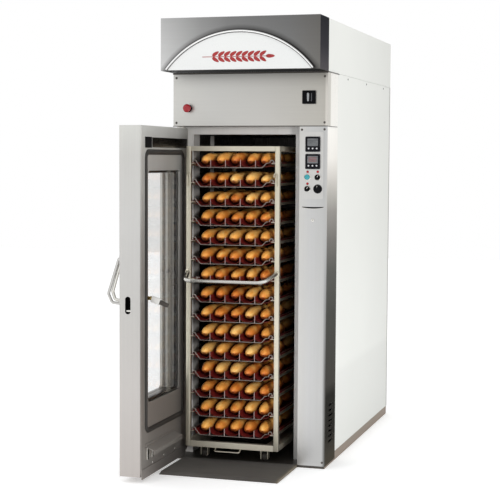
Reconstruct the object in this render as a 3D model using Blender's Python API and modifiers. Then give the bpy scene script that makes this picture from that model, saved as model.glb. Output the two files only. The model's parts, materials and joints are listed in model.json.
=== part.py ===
"""Roll-in rack cabinet for baking and proofing baguettes.

An insulated cabinet with a windowed door hinged on its left, a control
column on its right, a steam canopy above the doorway, and a wheeled rack of
fifteen five-channel trays that rolls in over a threshold ramp.

Frame: metres, +Z up, +X to the right as the user faces the doorway, +Y into
the depth. The origin is on the floor at the centre of the cabinet body.
"""
import math

import bmesh
import bpy
from mathutils import Matrix, Vector

# ---------------------------------------------------------------- dimensions
BODY_W = 0.830            # casing, side to side
BODY_D = 1.620            # casing, front to back
BODY_H = 2.034            # top of the casing, where the roof cover starts
TOTAL_H = 2.300           # top of the canopy and roof cover
CANOPY_REACH = 0.180      # how far the canopy stands out in front
HALF_W = BODY_W / 2
F = -BODY_D / 2           # plane of the cabinet's front face
GAP = 0.0003              # between touching sheets
SKIN = 0.003              # casing sheet

PLINTH_H = 0.050
FLOOR_Z = 0.0125          # level of the chamber floor and the ramp
FRONT_DEPTH = 0.220       # depth of the front column and housing
HOUSING_Z = 1.7575        # underside of the upper housing
FRAME_Y = F + 0.1225      # front face of the door frame
OPEN_X0, OPEN_X1, OPEN_Z = -0.345, 0.216, 1.718
COLUMN_X = 0.268          # left edge of the control column
REAR_WALL_Y = F + 1.240   # front of the chamber's rear wall

HINGE_X, HINGE_Y = -0.4005, F + 0.0775
DOOR_X0 = -0.478          # outer face of the open door
DOOR_X1 = -0.370          # inner face of the open door's shell
DOOR_Y0, DOOR_Y1 = F - 0.585, F + 0.0895
DOOR_Z0, DOOR_Z1 = 0.030, 1.750
WIN_Y0, WIN_Y1, WIN_Z0, WIN_Z1 = F - 0.492, F - 0.040, 0.385, 1.530

RACK_X = -0.080           # centre line of the rolling rack
RACK_W = 0.505
RACK_Y0 = F - 0.030       # front plane of the rack's posts
RACK_D = 0.800
RACK_Z0, RACK_Z1 = 0.079, 1.655
POST = 0.025
TRAY_COUNT = 15
TRAY_TOP_Z = 1.548        # wire level of the top tray
TRAY_PITCH = 0.10026
TRAY_W = 0.405
CHANNELS = 5
CHANNEL_PITCH = 0.081
CHANNEL_DEPTH = 0.020
RIDGE_H = 0.012           # ridges between channels, above the rims
CASTER_R = 0.0235         # wheel radius
CASTER_TRAIL = 0.012

# ------------------------------------------------------------------- set-up
for old in list(bpy.data.objects):
    bpy.data.objects.remove(old, do_unlink=True)

PARTS = bpy.data.collections.new("roll_in_rack_cabinet")
CUTTERS = bpy.data.collections.new("cutters")
bpy.context.scene.collection.children.link(PARTS)
bpy.context.scene.collection.children.link(CUTTERS)


def material(name, colour, metallic, roughness, alpha=1.0):
    mat = bpy.data.materials.new(name)
    mat.use_nodes = True
    bsdf = mat.node_tree.nodes["Principled BSDF"]
    bsdf.inputs["Base Color"].default_value = (*colour, 1.0)
    bsdf.inputs["Metallic"].default_value = metallic
    bsdf.inputs["Roughness"].default_value = roughness
    bsdf.inputs["Alpha"].default_value = alpha
    return mat


STEEL = material("brushed_steel", (0.62, 0.61, 0.59), 1.0, 0.32)
LINER = material("liner_steel", (0.35, 0.34, 0.33), 1.0, 0.22)
CHROME = material("bright_steel", (0.78, 0.77, 0.74), 1.0, 0.12)
RACK_STEEL = material("rack_steel", (0.66, 0.64, 0.58), 1.0, 0.34)
WHITE = material("white_panel", (0.80, 0.81, 0.78), 0.0, 0.38)
SIGN = material("white_sign", (0.90, 0.90, 0.90), 0.0, 0.30)
PLINTH = material("plinth_paint", (0.25, 0.20, 0.16), 0.2, 0.55)
BLACK = material("black_plastic", (0.015, 0.015, 0.016), 0.0, 0.35)
RUBBER = material("black_rubber", (0.012, 0.012, 0.012), 0.0, 0.75)
RED = material("red_plastic", (0.62, 0.02, 0.03), 0.0, 0.35)
TEAL = material("teal_lens", (0.02, 0.38, 0.42), 0.0, 0.20)
GREY = material("grey_plastic", (0.45, 0.45, 0.45), 0.0, 0.45)
GLASS = material("window_glass", (0.86, 0.92, 0.93), 0.0, 0.05, 0.35)
BRASS = material("brass", (0.70, 0.52, 0.22), 1.0, 0.30)
COATING = material("tray_coating", (0.16, 0.045, 0.03), 0.3, 0.45)
WHEEL = material("caster_tread", (0.03, 0.03, 0.03), 0.0, 0.60)
CAST = material("blower_aluminium", (0.55, 0.55, 0.55), 1.0, 0.45)

# ---------------------------------------------------------------- modelling


def link(obj, mat=None, cutter=False):
    (CUTTERS if cutter else PARTS).objects.link(obj)
    if cutter:
        obj.hide_render = True
        obj.display_type = 'WIRE'
    elif mat is not None:
        obj.data.materials.clear()
        obj.data.materials.append(mat)
    return obj


def box(name, x, y, z, mat=None, bevel=0.0, segments=2, cutter=False):
    """Cuboid between two corners, its origin at its centre."""
    bm = bmesh.new()
    bmesh.ops.create_cube(bm, size=1.0)
    size = Vector((x[1] - x[0], y[1] - y[0], z[1] - z[0]))
    bmesh.ops.scale(bm, vec=size, verts=bm.verts)
    mesh = bpy.data.meshes.new(name)
    bm.to_mesh(mesh)
    bm.free()
    obj = bpy.data.objects.new(name, mesh)
    obj.location = ((x[0] + x[1]) / 2, (y[0] + y[1]) / 2, (z[0] + z[1]) / 2)
    link(obj, mat, cutter)
    if bevel > 0:
        mod = obj.modifiers.new("edges", 'BEVEL')
        mod.width = bevel
        mod.segments = segments
        mod.limit_method = 'ANGLE'
    return obj


def cylinder(name, radius, length, location, axis='Z', mat=None, sides=24,
             cutter=False, bevel=0.0):
    """Round bar centred on location, along one axis."""
    bm = bmesh.new()
    bmesh.ops.create_cone(bm, cap_ends=True, segments=sides, radius1=radius,
                          radius2=radius, depth=length)
    turn = {'Z': Matrix.Identity(4), 'X': Matrix.Rotation(math.pi / 2, 4, 'Y'),
            'Y': Matrix.Rotation(-math.pi / 2, 4, 'X')}[axis]
    bmesh.ops.transform(bm, matrix=turn, verts=bm.verts)
    mesh = bpy.data.meshes.new(name)
    bm.to_mesh(mesh)
    bm.free()
    mesh.shade_smooth()
    mesh.set_sharp_from_angle(angle=math.radians(35))
    obj = bpy.data.objects.new(name, mesh)
    obj.location = location
    link(obj, mat, cutter)
    if bevel > 0:
        mod = obj.modifiers.new("edges", 'BEVEL')
        mod.width = bevel
        mod.segments = 1
        mod.limit_method = 'ANGLE'
        mod.angle_limit = math.radians(50)
    return obj


def turned(name, profile, location, axis='Z', mat=None, steps=24):
    """Turned piece: profile of (radius, height), outer side top to bottom."""
    mesh = bpy.data.meshes.new(name)
    bm = bmesh.new()
    verts = [bm.verts.new((r, 0.0, h)) for r, h in profile]
    for a, b in zip(verts, verts[1:]):
        bm.edges.new((a, b))
    if profile[0][0] > 0 and profile[-1][0] > 0:
        bm.edges.new((verts[-1], verts[0]))
    bm.to_mesh(mesh)
    bm.free()
    obj = bpy.data.objects.new(name, mesh)
    obj.location = location
    obj.rotation_euler = {'Z': (0, 0, 0), 'X': (0, math.pi / 2, 0),
                          'Y': (-math.pi / 2, 0, 0),
                          '-Y': (math.pi / 2, 0, 0)}[axis]
    link(obj, mat)
    mod = obj.modifiers.new("turn", 'SCREW')
    mod.axis = 'Z'
    mod.angle = math.tau
    mod.steps = steps
    mod.render_steps = steps
    mod.use_merge_vertices = True
    mod.merge_threshold = 0.00001
    mod.use_smooth_shade = True
    return obj


PLANES = {
    'XY': Matrix(((1, 0, 0), (0, 1, 0), (0, 0, 1))),
    'XZ': Matrix(((1, 0, 0), (0, 0, -1), (0, 1, 0))),
    'YZ': Matrix(((0, 0, 1), (1, 0, 0), (0, 1, 0))),
}


def plate(name, outlines, plane, middle, thickness, mat=None, cutter=False):
    """Flat outline with holes, extruded; middle is the plate's mid-plane."""
    curve = bpy.data.curves.new(name, 'CURVE')
    curve.dimensions = '2D'
    curve.fill_mode = 'BOTH'
    curve.extrude = thickness / 2
    for points in outlines:
        spline = curve.splines.new('POLY')
        spline.points.add(len(points) - 1)
        for point, (u, v) in zip(spline.points, points):
            point.co = (u, v, 0.0, 1.0)
        spline.use_cyclic_u = True
    rotation = PLANES[plane].to_4x4()
    offset = {'XY': (0, 0, middle), 'XZ': (0, middle, 0),
              'YZ': (middle, 0, 0)}[plane]
    temp = bpy.data.objects.new(name + "_outline", curve)
    temp.matrix_world = Matrix.Translation(offset) @ rotation
    PARTS.objects.link(temp)
    return baked(temp, name, mat, cutter)


def baked(temp, name, mat=None, cutter=False):
    """Curve object turned into a welded mesh object in the same place."""
    bpy.context.view_layer.update()
    graph = bpy.context.evaluated_depsgraph_get()
    world = temp.matrix_world.copy()
    mesh = bpy.data.meshes.new_from_object(temp.evaluated_get(graph))
    curve = temp.data
    bpy.data.objects.remove(temp, do_unlink=True)
    bpy.data.curves.remove(curve)
    bm = bmesh.new()
    bm.from_mesh(mesh)
    bmesh.ops.remove_doubles(bm, verts=bm.verts, dist=0.00002)
    bmesh.ops.recalc_face_normals(bm, faces=bm.faces)
    bm.to_mesh(mesh)
    bm.free()
    mesh.name = name
    obj = bpy.data.objects.new(name, mesh)
    obj.matrix_world = world
    return link(obj, mat, cutter)


def tube(name, points, radius, mat=None, resolution=2, cyclic=False,
         cutter=False):
    """Round bar along a path of points, with flat filled ends."""
    curve = bpy.data.curves.new(name, 'CURVE')
    curve.dimensions = '3D'
    curve.bevel_depth = radius
    curve.bevel_resolution = resolution
    curve.use_fill_caps = True
    spline = curve.splines.new('POLY')
    spline.points.add(len(points) - 1)
    for point, co in zip(spline.points, points):
        point.co = (*co, 1.0)
    spline.use_cyclic_u = cyclic
    temp = bpy.data.objects.new(name + "_path", curve)
    PARTS.objects.link(temp)
    obj = baked(temp, name, mat, cutter)
    obj.data.shade_smooth()
    obj.data.set_sharp_from_angle(angle=math.radians(50))
    return obj


def rounded(corners, radius, steps=4, closed=False):
    """Polyline through corners with each bend rounded to a radius."""
    pts = [Vector(c) for c in corners]
    count = len(pts)
    out = []
    for i, here in enumerate(pts):
        if not closed and i in (0, count - 1):
            out.append(here)
            continue
        a = (pts[i - 1] - here).normalized()
        b = (pts[(i + 1) % count] - here).normalized()
        angle = a.angle(b)
        reach = min(radius / math.tan(angle / 2),
                    (pts[i - 1] - here).length * 0.49,
                    (pts[(i + 1) % count] - here).length * 0.49)
        r = reach * math.tan(angle / 2)
        centre = here + (a + b).normalized() * (r / math.sin(angle / 2))
        p0, p1 = here + a * reach - centre, here + b * reach - centre
        sweep = p0.angle(p1)
        for k in range(steps + 1):
            t = k / steps
            w0 = math.sin((1 - t) * sweep) / math.sin(sweep)
            w1 = math.sin(t * sweep) / math.sin(sweep)
            out.append(centre + p0 * w0 + p1 * w1)
    return out


def rectangle(u0, u1, v0, v1, radius=0.0, steps=4):
    corners = [(u0, v0, 0), (u1, v0, 0), (u1, v1, 0), (u0, v1, 0)]
    if radius <= 0:
        return [(c[0], c[1]) for c in corners]
    return [(p.x, p.y) for p in rounded(corners, radius, steps, closed=True)]


def circle(u, v, radius, sides=24):
    return [(u + radius * math.cos(math.tau * k / sides),
             v + radius * math.sin(math.tau * k / sides))
            for k in range(sides)]


def boolean(obj, cutter, operation='DIFFERENCE'):
    mod = obj.modifiers.new(operation.lower(), 'BOOLEAN')
    mod.operation = operation
    mod.solver = 'EXACT'
    mod.object = cutter
    return obj


def keep_origin(obj, pivot):
    """Move an object's origin to a point on its joint axis."""
    shift = obj.matrix_world.inverted() @ Vector(pivot)
    obj.data.transform(Matrix.Translation(-shift))
    obj.matrix_world = obj.matrix_world @ Matrix.Translation(shift)
    return obj


def pivot_empty(name, location):
    empty = bpy.data.objects.new(name, None)
    empty.location = location
    PARTS.objects.link(empty)
    return empty


def ride(parent, *children):
    bpy.context.view_layer.update()
    for child in children:
        world = child.matrix_world.copy()
        child.parent = parent
        child.matrix_parent_inverse = parent.matrix_world.inverted()
        child.matrix_world = world


# ------------------------------------------------------------ cabinet casing
plinth = box("base_plinth", (-0.412, 0.412), (F + 0.002, F + 1.618),
             (0.0, PLINTH_H), PLINTH)
boolean(plinth, box("cut_floor_channel", (OPEN_X0 + 0.0025, OPEN_X1 - 0.0025),
                    (F - 0.1, REAR_WALL_Y), (FLOOR_Z, 0.2), cutter=True))
boolean(plinth, box("cut_front_step", (-0.6, 0.6),
                    (F - 0.1, F + FRONT_DEPTH), (FLOOR_Z, 0.2), cutter=True))

SIDE_Y = (F + FRONT_DEPTH + GAP, F + 1.5995)
box("side_panel_left", (-HALF_W, -0.390), SIDE_Y,
    (PLINTH_H + GAP, BODY_H - GAP), WHITE)
box("side_panel_right", (0.390, HALF_W), SIDE_Y,
    (PLINTH_H + GAP, BODY_H - GAP), WHITE)
box("rear_panel", (-HALF_W, HALF_W), (F + 1.600, F + 1.620),
    (PLINTH_H + GAP, BODY_H - GAP), STEEL)

roof = box("roof_cover", (-HALF_W, HALF_W), (F + GAP, F + 1.620),
           (BODY_H, TOTAL_H), WHITE)
boolean(roof, box("cut_roof", (-HALF_W + SKIN, HALF_W - SKIN),
                  (F + GAP + SKIN, F + 1.620 - SKIN),
                  (BODY_H - 0.1, TOTAL_H - SKIN), cutter=True))

canopy = box("canopy_hood", (-0.418, 0.418), (F - CANOPY_REACH, F - GAP),
             (BODY_H, TOTAL_H), STEEL)
boolean(canopy, box("cut_canopy", (-0.418 + SKIN, 0.418 - SKIN),
                    (F - CANOPY_REACH + SKIN, F - GAP - SKIN),
                    (BODY_H - 0.1, TOTAL_H - SKIN), cutter=True))

housing = box("upper_housing", (-HALF_W, HALF_W),
              (F, F + FRONT_DEPTH - GAP), (HOUSING_Z, BODY_H - GAP), STEEL)
boolean(housing, box("cut_housing", (-HALF_W + SKIN, HALF_W - SKIN),
                     (F + SKIN, F + 0.5),
                     (HOUSING_Z + SKIN, BODY_H - GAP - SKIN), cutter=True))

column = box("control_column", (COLUMN_X, HALF_W),
             (F, F + FRONT_DEPTH - GAP), (FLOOR_Z + GAP, HOUSING_Z - GAP),
             STEEL)
boolean(column, box("cut_column", (COLUMN_X + SKIN, HALF_W - SKIN),
                    (F + SKIN, F + 0.5), (0.020, HOUSING_Z - 0.005),
                    cutter=True))
vents = None
for k in range(8):
    z = 0.122 + 0.027 * k
    slot = box(f"cut_vent_{k + 1}", (HALF_W - 0.01, HALF_W + 0.01),
               (F + 0.075, F + 0.165), (z, z + 0.012), cutter=True)
    boolean(column, slot)

# inverted U around the doorway
plate("door_frame",
      [[(-0.4125, FLOOR_Z + GAP), (OPEN_X0, FLOOR_Z + GAP),
        (OPEN_X0, OPEN_Z), (OPEN_X1, OPEN_Z), (OPEN_X1, FLOOR_Z + GAP),
        (COLUMN_X - GAP, FLOOR_Z + GAP), (COLUMN_X - GAP, HOUSING_Z - GAP),
        (-0.4125, HOUSING_Z - GAP)]],
      'XZ', (FRAME_Y + F + FRONT_DEPTH - GAP) / 2,
      (F + FRONT_DEPTH - GAP) - FRAME_Y, STEEL)

# folded sheet lining the chamber's sides and ceiling
LX0, LX1, LZ = OPEN_X0 - 0.0005, OPEN_X1 + 0.0005, OPEN_Z + 0.0005
plate("chamber_liner",
      [[(LX0 - 0.004, PLINTH_H + GAP), (LX0, PLINTH_H + GAP), (LX0, LZ),
        (LX1, LZ), (LX1, PLINTH_H + GAP), (LX1 + 0.004, PLINTH_H + GAP),
        (LX1 + 0.004, LZ + 0.004), (LX0 - 0.004, LZ + 0.004)]],
      'XZ', (F + FRONT_DEPTH + REAR_WALL_Y - GAP) / 2,
      REAR_WALL_Y - GAP - (F + FRONT_DEPTH), LINER)

FAN_X, FAN_Z = (OPEN_X0 + OPEN_X1) / 2, 1.000
plate("chamber_rear_wall",
      [rectangle(LX0 - 0.004, LX1 + 0.004, PLINTH_H + GAP, LZ + 0.004),
       circle(FAN_X, FAN_Z, 0.150, 24)],
      'XZ', REAR_WALL_Y + 0.010, 0.020, LINER)

blades = []
for k in range(12):
    for frac, radius in ((0.0, 0.060), (0.30, 0.062), (0.34, 0.140),
                         (0.46, 0.142), (0.50, 0.062)):
        a = math.tau * (k + frac) / 12
        blades.append((FAN_X + radius * math.cos(a),
                       FAN_Z + radius * math.sin(a)))
fan = plate("fan_wheel", [blades], 'XZ', REAR_WALL_Y + 0.060, 0.060, CAST)
keep_origin(fan, (FAN_X, REAR_WALL_Y + 0.060, FAN_Z))
motor = turned("fan_motor",
               [(0.0, 0.2690), (0.095, 0.2690), (0.095, 0.2600),
                (0.080, 0.2600), (0.080, 0.0700), (0.060, 0.0550),
                (0.012, 0.0550), (0.012, 0.0), (0.0, 0.0)],
               (FAN_X, REAR_WALL_Y + 0.0906, FAN_Z), 'Y', CAST, 20)

# ------------------------------------------------------------- arched sign
ARCH_R_X, ARCH_Z0, ARCH_Z1 = 0.385, 2.040, 2.228
chord, rise = ARCH_R_X, ARCH_Z1 - ARCH_Z0
ARCH_R = (chord * chord + rise * rise) / (2 * rise)
ARCH_CZ = ARCH_Z1 - ARCH_R
half_sweep = math.asin(chord / ARCH_R)
arc = [(ARCH_R * math.sin(half_sweep * (2 * k / 20 - 1)),
        ARCH_CZ + ARCH_R * math.cos(half_sweep * (2 * k / 20 - 1)))
       for k in range(21)]
sign = plate("arched_sign", [arc], 'XZ', F - CANOPY_REACH - 0.0055, 0.010,
             SIGN)
SIGN_Y = F - CANOPY_REACH - 0.0115
rim = tube("rim_of_sign", [(u, SIGN_Y, v) for u, v in
                           [(0.3865 * s, z) for s, z in ()] or arc],
           0.0085, None, 2, cutter=True)
boolean(sign, rim, 'UNION')

# ------------------------------------------------------------------- ramp
RAMP_Y0 = F - 0.372
ramp = plate("threshold_ramp",
             [[(RAMP_Y0, 0.0), (F - 0.002, 0.0), (F - 0.002, FLOOR_Z),
               (F - 0.340, FLOOR_Z), (RAMP_Y0, 0.0025)]],
             'YZ', (-0.352 + 0.2675) / 2, 0.2675 + 0.352, LINER)

# --------------------------------------------------------- hinge pivot pins
turned("hinge_pivot_top",
       [(0.0, HOUSING_Z - GAP), (0.022, HOUSING_Z - GAP), (0.022, 1.7515),
        (0.006, 1.7515), (0.006, 1.722), (0.0, 1.722)],
       (HINGE_X, HINGE_Y, 0.0), 'Z', STEEL, 20)
turned("hinge_pivot_bottom",
       [(0.0, 0.058), (0.006, 0.058), (0.006, FLOOR_Z + 0.0033),
        (0.022, FLOOR_Z + 0.0033), (0.022, FLOOR_Z + GAP),
        (0.0, FLOOR_Z + GAP)],
       (HINGE_X, HINGE_Y, 0.0), 'Z', STEEL, 20)

# --------------------------------------------------------------- controls
PANEL_Y = F - GAP         # pieces on the column stand in front of this plane
box("temperature_controller", (0.3010, 0.3770), (F - 0.010, PANEL_Y),
    (1.6275, 1.7045), BLACK, 0.003, 2)
box("timer_controller", (0.3010, 0.3770), (F - 0.010, PANEL_Y),
    (1.5400, 1.6165), BLACK, 0.003, 2)


for owner, name, x, z, radius in (
        (column, "cut_start_hole", 0.3110, 1.4990, 0.0115),
        (housing, "cut_stop_hole", -0.3315, 1.8510, 0.0130)):
    boolean(owner, cylinder(name, radius, 0.05, (x, F, z), 'Y', sides=20,
                            cutter=True))


def button(name, x, z, radius, length, mat):
    """Short turned control standing out of the panel towards the user."""
    return turned(name, [(0.0, length), (radius * 0.82, length),
                         (radius, length - 0.002), (radius, 0.0),
                         (0.0, 0.0)],
                  (x, F - 0.0005, z), '-Y', mat, 20)


turned("start_button",
       [(0.0, 0.014), (0.0130, 0.014), (0.0155, 0.012), (0.0155, 0.0045),
        (0.0105, 0.0045), (0.0105, -0.012), (0.0, -0.012)],
       (0.3110, F - 0.0005, 1.4990), '-Y', TEAL, 20)
button("light_selector", 0.3645, 1.4985, 0.0150, 0.016, BLACK)
button("steam_selector", 0.3110, 1.4398, 0.0150, 0.016, BLACK)
button("signal_knob", 0.3652, 1.4395, 0.0205, 0.018, BLACK)
turned("emergency_stop",
       [(0.0, 0.036), (0.014, 0.035), (0.020, 0.031), (0.0215, 0.026),
        (0.0195, 0.021), (0.0120, 0.018), (0.0120, -0.012),
        (0.0, -0.012)],
       (-0.3315, F - 0.0005, 1.8510), '-Y', RED, 20)
boolean(housing, box("boss_of_main_switch", (0.2835, 0.3510),
                     (F - 0.006, F + 0.001), (1.8705, 1.9365), cutter=True),
        'UNION')
lever = plate("main_switch_lever",
              [rectangle(0.3090, 0.3190, 1.8820, 1.9250, 0.0045, 3)],
              'XZ', F - 0.0115, 0.010, GREY)
keep_origin(lever, (0.3140, F - 0.0115, 1.9035))

# ------------------------------------------------------------------- door
door_axis = pivot_empty("door_axis", (HINGE_X, HINGE_Y, 0.0))
shell = box("door_shell", (DOOR_X0, DOOR_X1), (DOOR_Y0, DOOR_Y1),
            (DOOR_Z0, DOOR_Z1), STEEL)
boolean(shell, plate("cut_window",
                     [rectangle(WIN_Y0, WIN_Y1, WIN_Z0, WIN_Z1, 0.020, 3)],
                     'YZ', (DOOR_X0 + DOOR_X1) / 2, 0.30, cutter=True))
boolean(shell, cylinder("cut_pivot_top", 0.0066, 0.060,
                        (HINGE_X, HINGE_Y, DOOR_Z1), 'Z', sides=20,
                        cutter=True))
boolean(shell, cylinder("cut_pivot_bottom", 0.0066, 0.064,
                        (HINGE_X, HINGE_Y, DOOR_Z0), 'Z', sides=20,
                        cutter=True))
boolean(shell, plate("cut_latch_slot",
                     [rectangle(-0.4480, -0.4200, 0.832, 0.918, 0.0135, 4)],
                     'XZ', DOOR_Y0 + 0.015, 0.050, cutter=True))
inner = plate("door_inner_frame",
              [rectangle(DOOR_Y0 + 0.002, DOOR_Y1 - 0.004, DOOR_Z0 + 0.010,
                         DOOR_Z1 - 0.002),
               rectangle(WIN_Y0, WIN_Y1, WIN_Z0, WIN_Z1, 0.020, 3)],
              'YZ', DOOR_X1 + GAP + 0.0025, 0.005, LINER)
SEAL_X0, SEAL_X1 = DOOR_X1 + 0.0056, -0.3565
gasket = plate("door_gasket",
               [rectangle(F - 0.535, F + 0.020, 0.236, 1.634, 0.045, 5),
                rectangle(F - 0.509, F - 0.006, 0.262, 1.608, 0.022, 5)],
               'YZ', (SEAL_X0 + SEAL_X1) / 2, SEAL_X1 - SEAL_X0, RUBBER)
window = plate("door_window",
               [rectangle(WIN_Y0 + 0.0006, WIN_Y1 - 0.0006, WIN_Z0 + 0.0006,
                          WIN_Z1 - 0.0006, 0.0195, 3)],
               'YZ', -0.386, 0.024, GLASS)
ledge = plate("door_drip_ledge",
              [[(-0.3644, 0.184), (-0.3612, 0.184), (-0.3612, 0.1750),
                (-0.3210, 0.1570), (-0.3180, 0.1540), (-0.3180, 0.1340),
                (-0.3212, 0.1340), (-0.3212, 0.1520), (-0.3644, 0.1715)]],
              'XZ', (F - 0.530 + F - 0.120) / 2, 0.410, LINER)

# pull lever on the outer face: a strap bowed away from the door
LEVER_Z = 1.100
PULL_Y = F - 0.535
arm = rounded([(-0.4820, PULL_Y, LEVER_Z), (-0.4960, PULL_Y, LEVER_Z),
               (-0.5520, PULL_Y, 0.925), (-0.5330, PULL_Y, 0.884),
               (-0.4860, PULL_Y, 0.880)], 0.014, 3)
pull = tube("door_pull", arm, 0.011, STEEL, 2)
keep_origin(pull, (-0.4820, PULL_Y, LEVER_Z))

# release lever on the inner face, so that nobody can be shut in
REL_Y, REL_Z = F - 0.4975, 0.905
release = tube("inside_release",
               [(-0.3640, REL_Y, REL_Z), (-0.3440, REL_Y, REL_Z),
                (-0.3360, REL_Y, REL_Z - 0.002),
                (-0.2950, REL_Y, REL_Z - 0.018),
                (-0.2500, REL_Y, REL_Z - 0.036)],
               0.0095, BRASS, 2)
keep_origin(release, (-0.3640, REL_Y, REL_Z))
ride(door_axis, shell, inner, gasket, window, ledge, pull, release)

# ------------------------------------------------------------ rolling rack
rack_axis = pivot_empty("rack_axis", (RACK_X, RACK_Y0, 0.0))
RX0, RX1 = RACK_X - RACK_W / 2, RACK_X + RACK_W / 2
RY1 = RACK_Y0 + RACK_D
RUNNER_W, RUNNER_H = 0.0195, 0.0030
RIM_LIFT = CHANNEL_DEPTH + 0.002 - 0.0022   # underside of a tray's rim


def tray_level(k):
    return TRAY_TOP_Z - TRAY_PITCH * k


def side_frame(name, outer, inner):
    """Two posts joined by rails, with angle runners standing inwards."""
    step = 1 if inner > outer else -1
    tip = inner + step * RUNNER_W
    outline = [(outer, RACK_Z1), (outer, RACK_Z0), (inner, RACK_Z0)]
    for k in reversed(range(TRAY_COUNT)):
        top = tray_level(k) + RIM_LIFT - GAP
        outline += [(inner, top - RUNNER_H), (tip, top - RUNNER_H),
                    (tip, top), (inner, top)]
    outline.append((inner, RACK_Z1))
    frame = plate(name, [outline], 'XZ', (RACK_Y0 + RY1) / 2, RACK_D,
                  RACK_STEEL)
    middle = inner - step * 0.05
    window = plate("window_" + name,
                   [rectangle(RACK_Y0 + POST, RY1 - POST,
                              RACK_Z0 + 0.031, RACK_Z1 - POST)],
                   'YZ', middle, 0.0998, cutter=True)
    return boolean(frame, window)


left = side_frame("rack_side_left", RX0, RX0 + POST)
right = side_frame("rack_side_right", RX1, RX1 - POST)
inner_x = (RX0 + POST + GAP, RX1 - POST - GAP)


def ring(name, z0, z1, wall):
    """Rectangular cross frame between the two side frames."""
    return plate(name,
                 [rectangle(*inner_x, RACK_Y0, RY1),
                  rectangle(inner_x[0] + 0.045, inner_x[1] - 0.045,
                            RACK_Y0 + wall, RY1 - wall)],
                 'XY', (z0 + z1) / 2, z1 - z0, RACK_STEEL)


base = ring("rack_base_frame", RACK_Z0, RACK_Z0 + 0.031, 0.031)
crown = ring("rack_top_frame", RACK_Z1 - 0.025, RACK_Z1 - GAP, 0.025)

BAR_Z = 0.968
push = tube("rack_push_bar",
            rounded([(RX0 + 0.0125, RACK_Y0 - 0.0115, 1.000),
                     (-0.282, F - 0.190, BAR_Z), (0.130, F - 0.190, BAR_Z),
                     (RX1 - 0.0125, RACK_Y0 - 0.0115, 1.000)], 0.050, 5),
            0.0105, CHROME, 2)
loop = tube("loop_under_front_beam",
            rounded([(-0.165, RACK_Y0 + 0.0100, 0.082),
                     (-0.165, RACK_Y0 - 0.0260, 0.066),
                     (-0.030, RACK_Y0 - 0.0260, 0.066),
                     (-0.030, RACK_Y0 + 0.0100, 0.082)], 0.008, 3),
            0.0032, None, 1, cutter=True)
boolean(base, loop, 'UNION')
ride(rack_axis, left, right, base, crown, push)

for side_y, front in ((RACK_Y0 + 0.060, "front"), (RY1 - 0.060, "rear")):
    for x, hand in ((RACK_X - 0.165, "left"), (RACK_X + 0.165, "right")):
        place = f"{front}_{hand}"
        wheel_z = FLOOR_Z + 0.0010 + CASTER_R
        swivel = pivot_empty(f"swivel_axis_{place}", (x, side_y, 0.0))
        fork = plate(f"caster_fork_{place}",
                     [[(x - 0.020, RACK_Z0 - GAP), (x - 0.020, wheel_z - 0.010),
                       (x - 0.0165, wheel_z - 0.010), (x - 0.0165, 0.068),
                       (x + 0.0165, 0.068), (x + 0.0165, wheel_z - 0.010),
                       (x + 0.020, wheel_z - 0.010),
                       (x + 0.020, RACK_Z0 - GAP)]],
                     'XZ', side_y + CASTER_TRAIL / 2, 0.034, RACK_STEEL)
        wheel = turned(f"caster_wheel_{place}",
                       [(0.0, 0.0150), (CASTER_R - 0.006, 0.0150),
                        (CASTER_R - 0.004, 0.0110), (CASTER_R, 0.0090),
                        (CASTER_R, -0.0090), (CASTER_R - 0.004, -0.0110),
                        (CASTER_R - 0.006, -0.0150), (0.0, -0.0150)],
                       (x, side_y + CASTER_TRAIL, wheel_z), 'X', WHEEL, 20)
        ride(swivel, fork, wheel)
        ride(rack_axis, swivel)

# ------------------------------------------------------------------ trays
TX0, TX1 = RACK_X - TRAY_W / 2, RACK_X + TRAY_W / 2
TRAY_Y0, TRAY_Y1 = RACK_Y0 + 0.004, RACK_Y0 + 0.788
FACETS = 5


def tray_outline(z):
    """Five round channels side by side, with a hooked rim on each side."""
    sheet = 0.0022
    crest = z + CHANNEL_DEPTH + 0.002
    under, over = [], []
    first = RACK_X - CHANNEL_PITCH * CHANNELS / 2
    for c in range(CHANNELS):
        centre = first + CHANNEL_PITCH * (c + 0.5)
        for k in range(FACETS + 1):
            a = math.pi * (k / FACETS)
            u = centre - (CHANNEL_PITCH / 2 - 0.0025) * math.cos(a)
            depth = CHANNEL_DEPTH * math.sin(a)
            over.append((u, crest - depth))
            under.append((u, crest - depth - sheet))
        if c < CHANNELS - 1:       # folded ridge that keeps loaves apart
            ridge = centre + CHANNEL_PITCH / 2
            over += [(ridge - 0.0014, crest + RIDGE_H),
                     (ridge + 0.0014, crest + RIDGE_H)]
    rim = 0.0240
    over = [(TX0 - rim, crest)] + over + [(TX1 + rim, crest)]
    under = [(TX0 - rim, crest - sheet)] + under + [(TX1 + rim, crest - sheet)]
    return over + under[::-1]


for k in range(TRAY_COUNT):
    level = tray_level(k)
    tray = plate(f"tray_{k + 1:02d}", [tray_outline(level)], 'XZ',
                 (TRAY_Y0 + TRAY_Y1) / 2, TRAY_Y1 - TRAY_Y0, COATING)
    ride(rack_axis, tray)
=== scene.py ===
import json
import math
import random

import bmesh
import bpy
from mathutils import Matrix, Vector, noise

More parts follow.
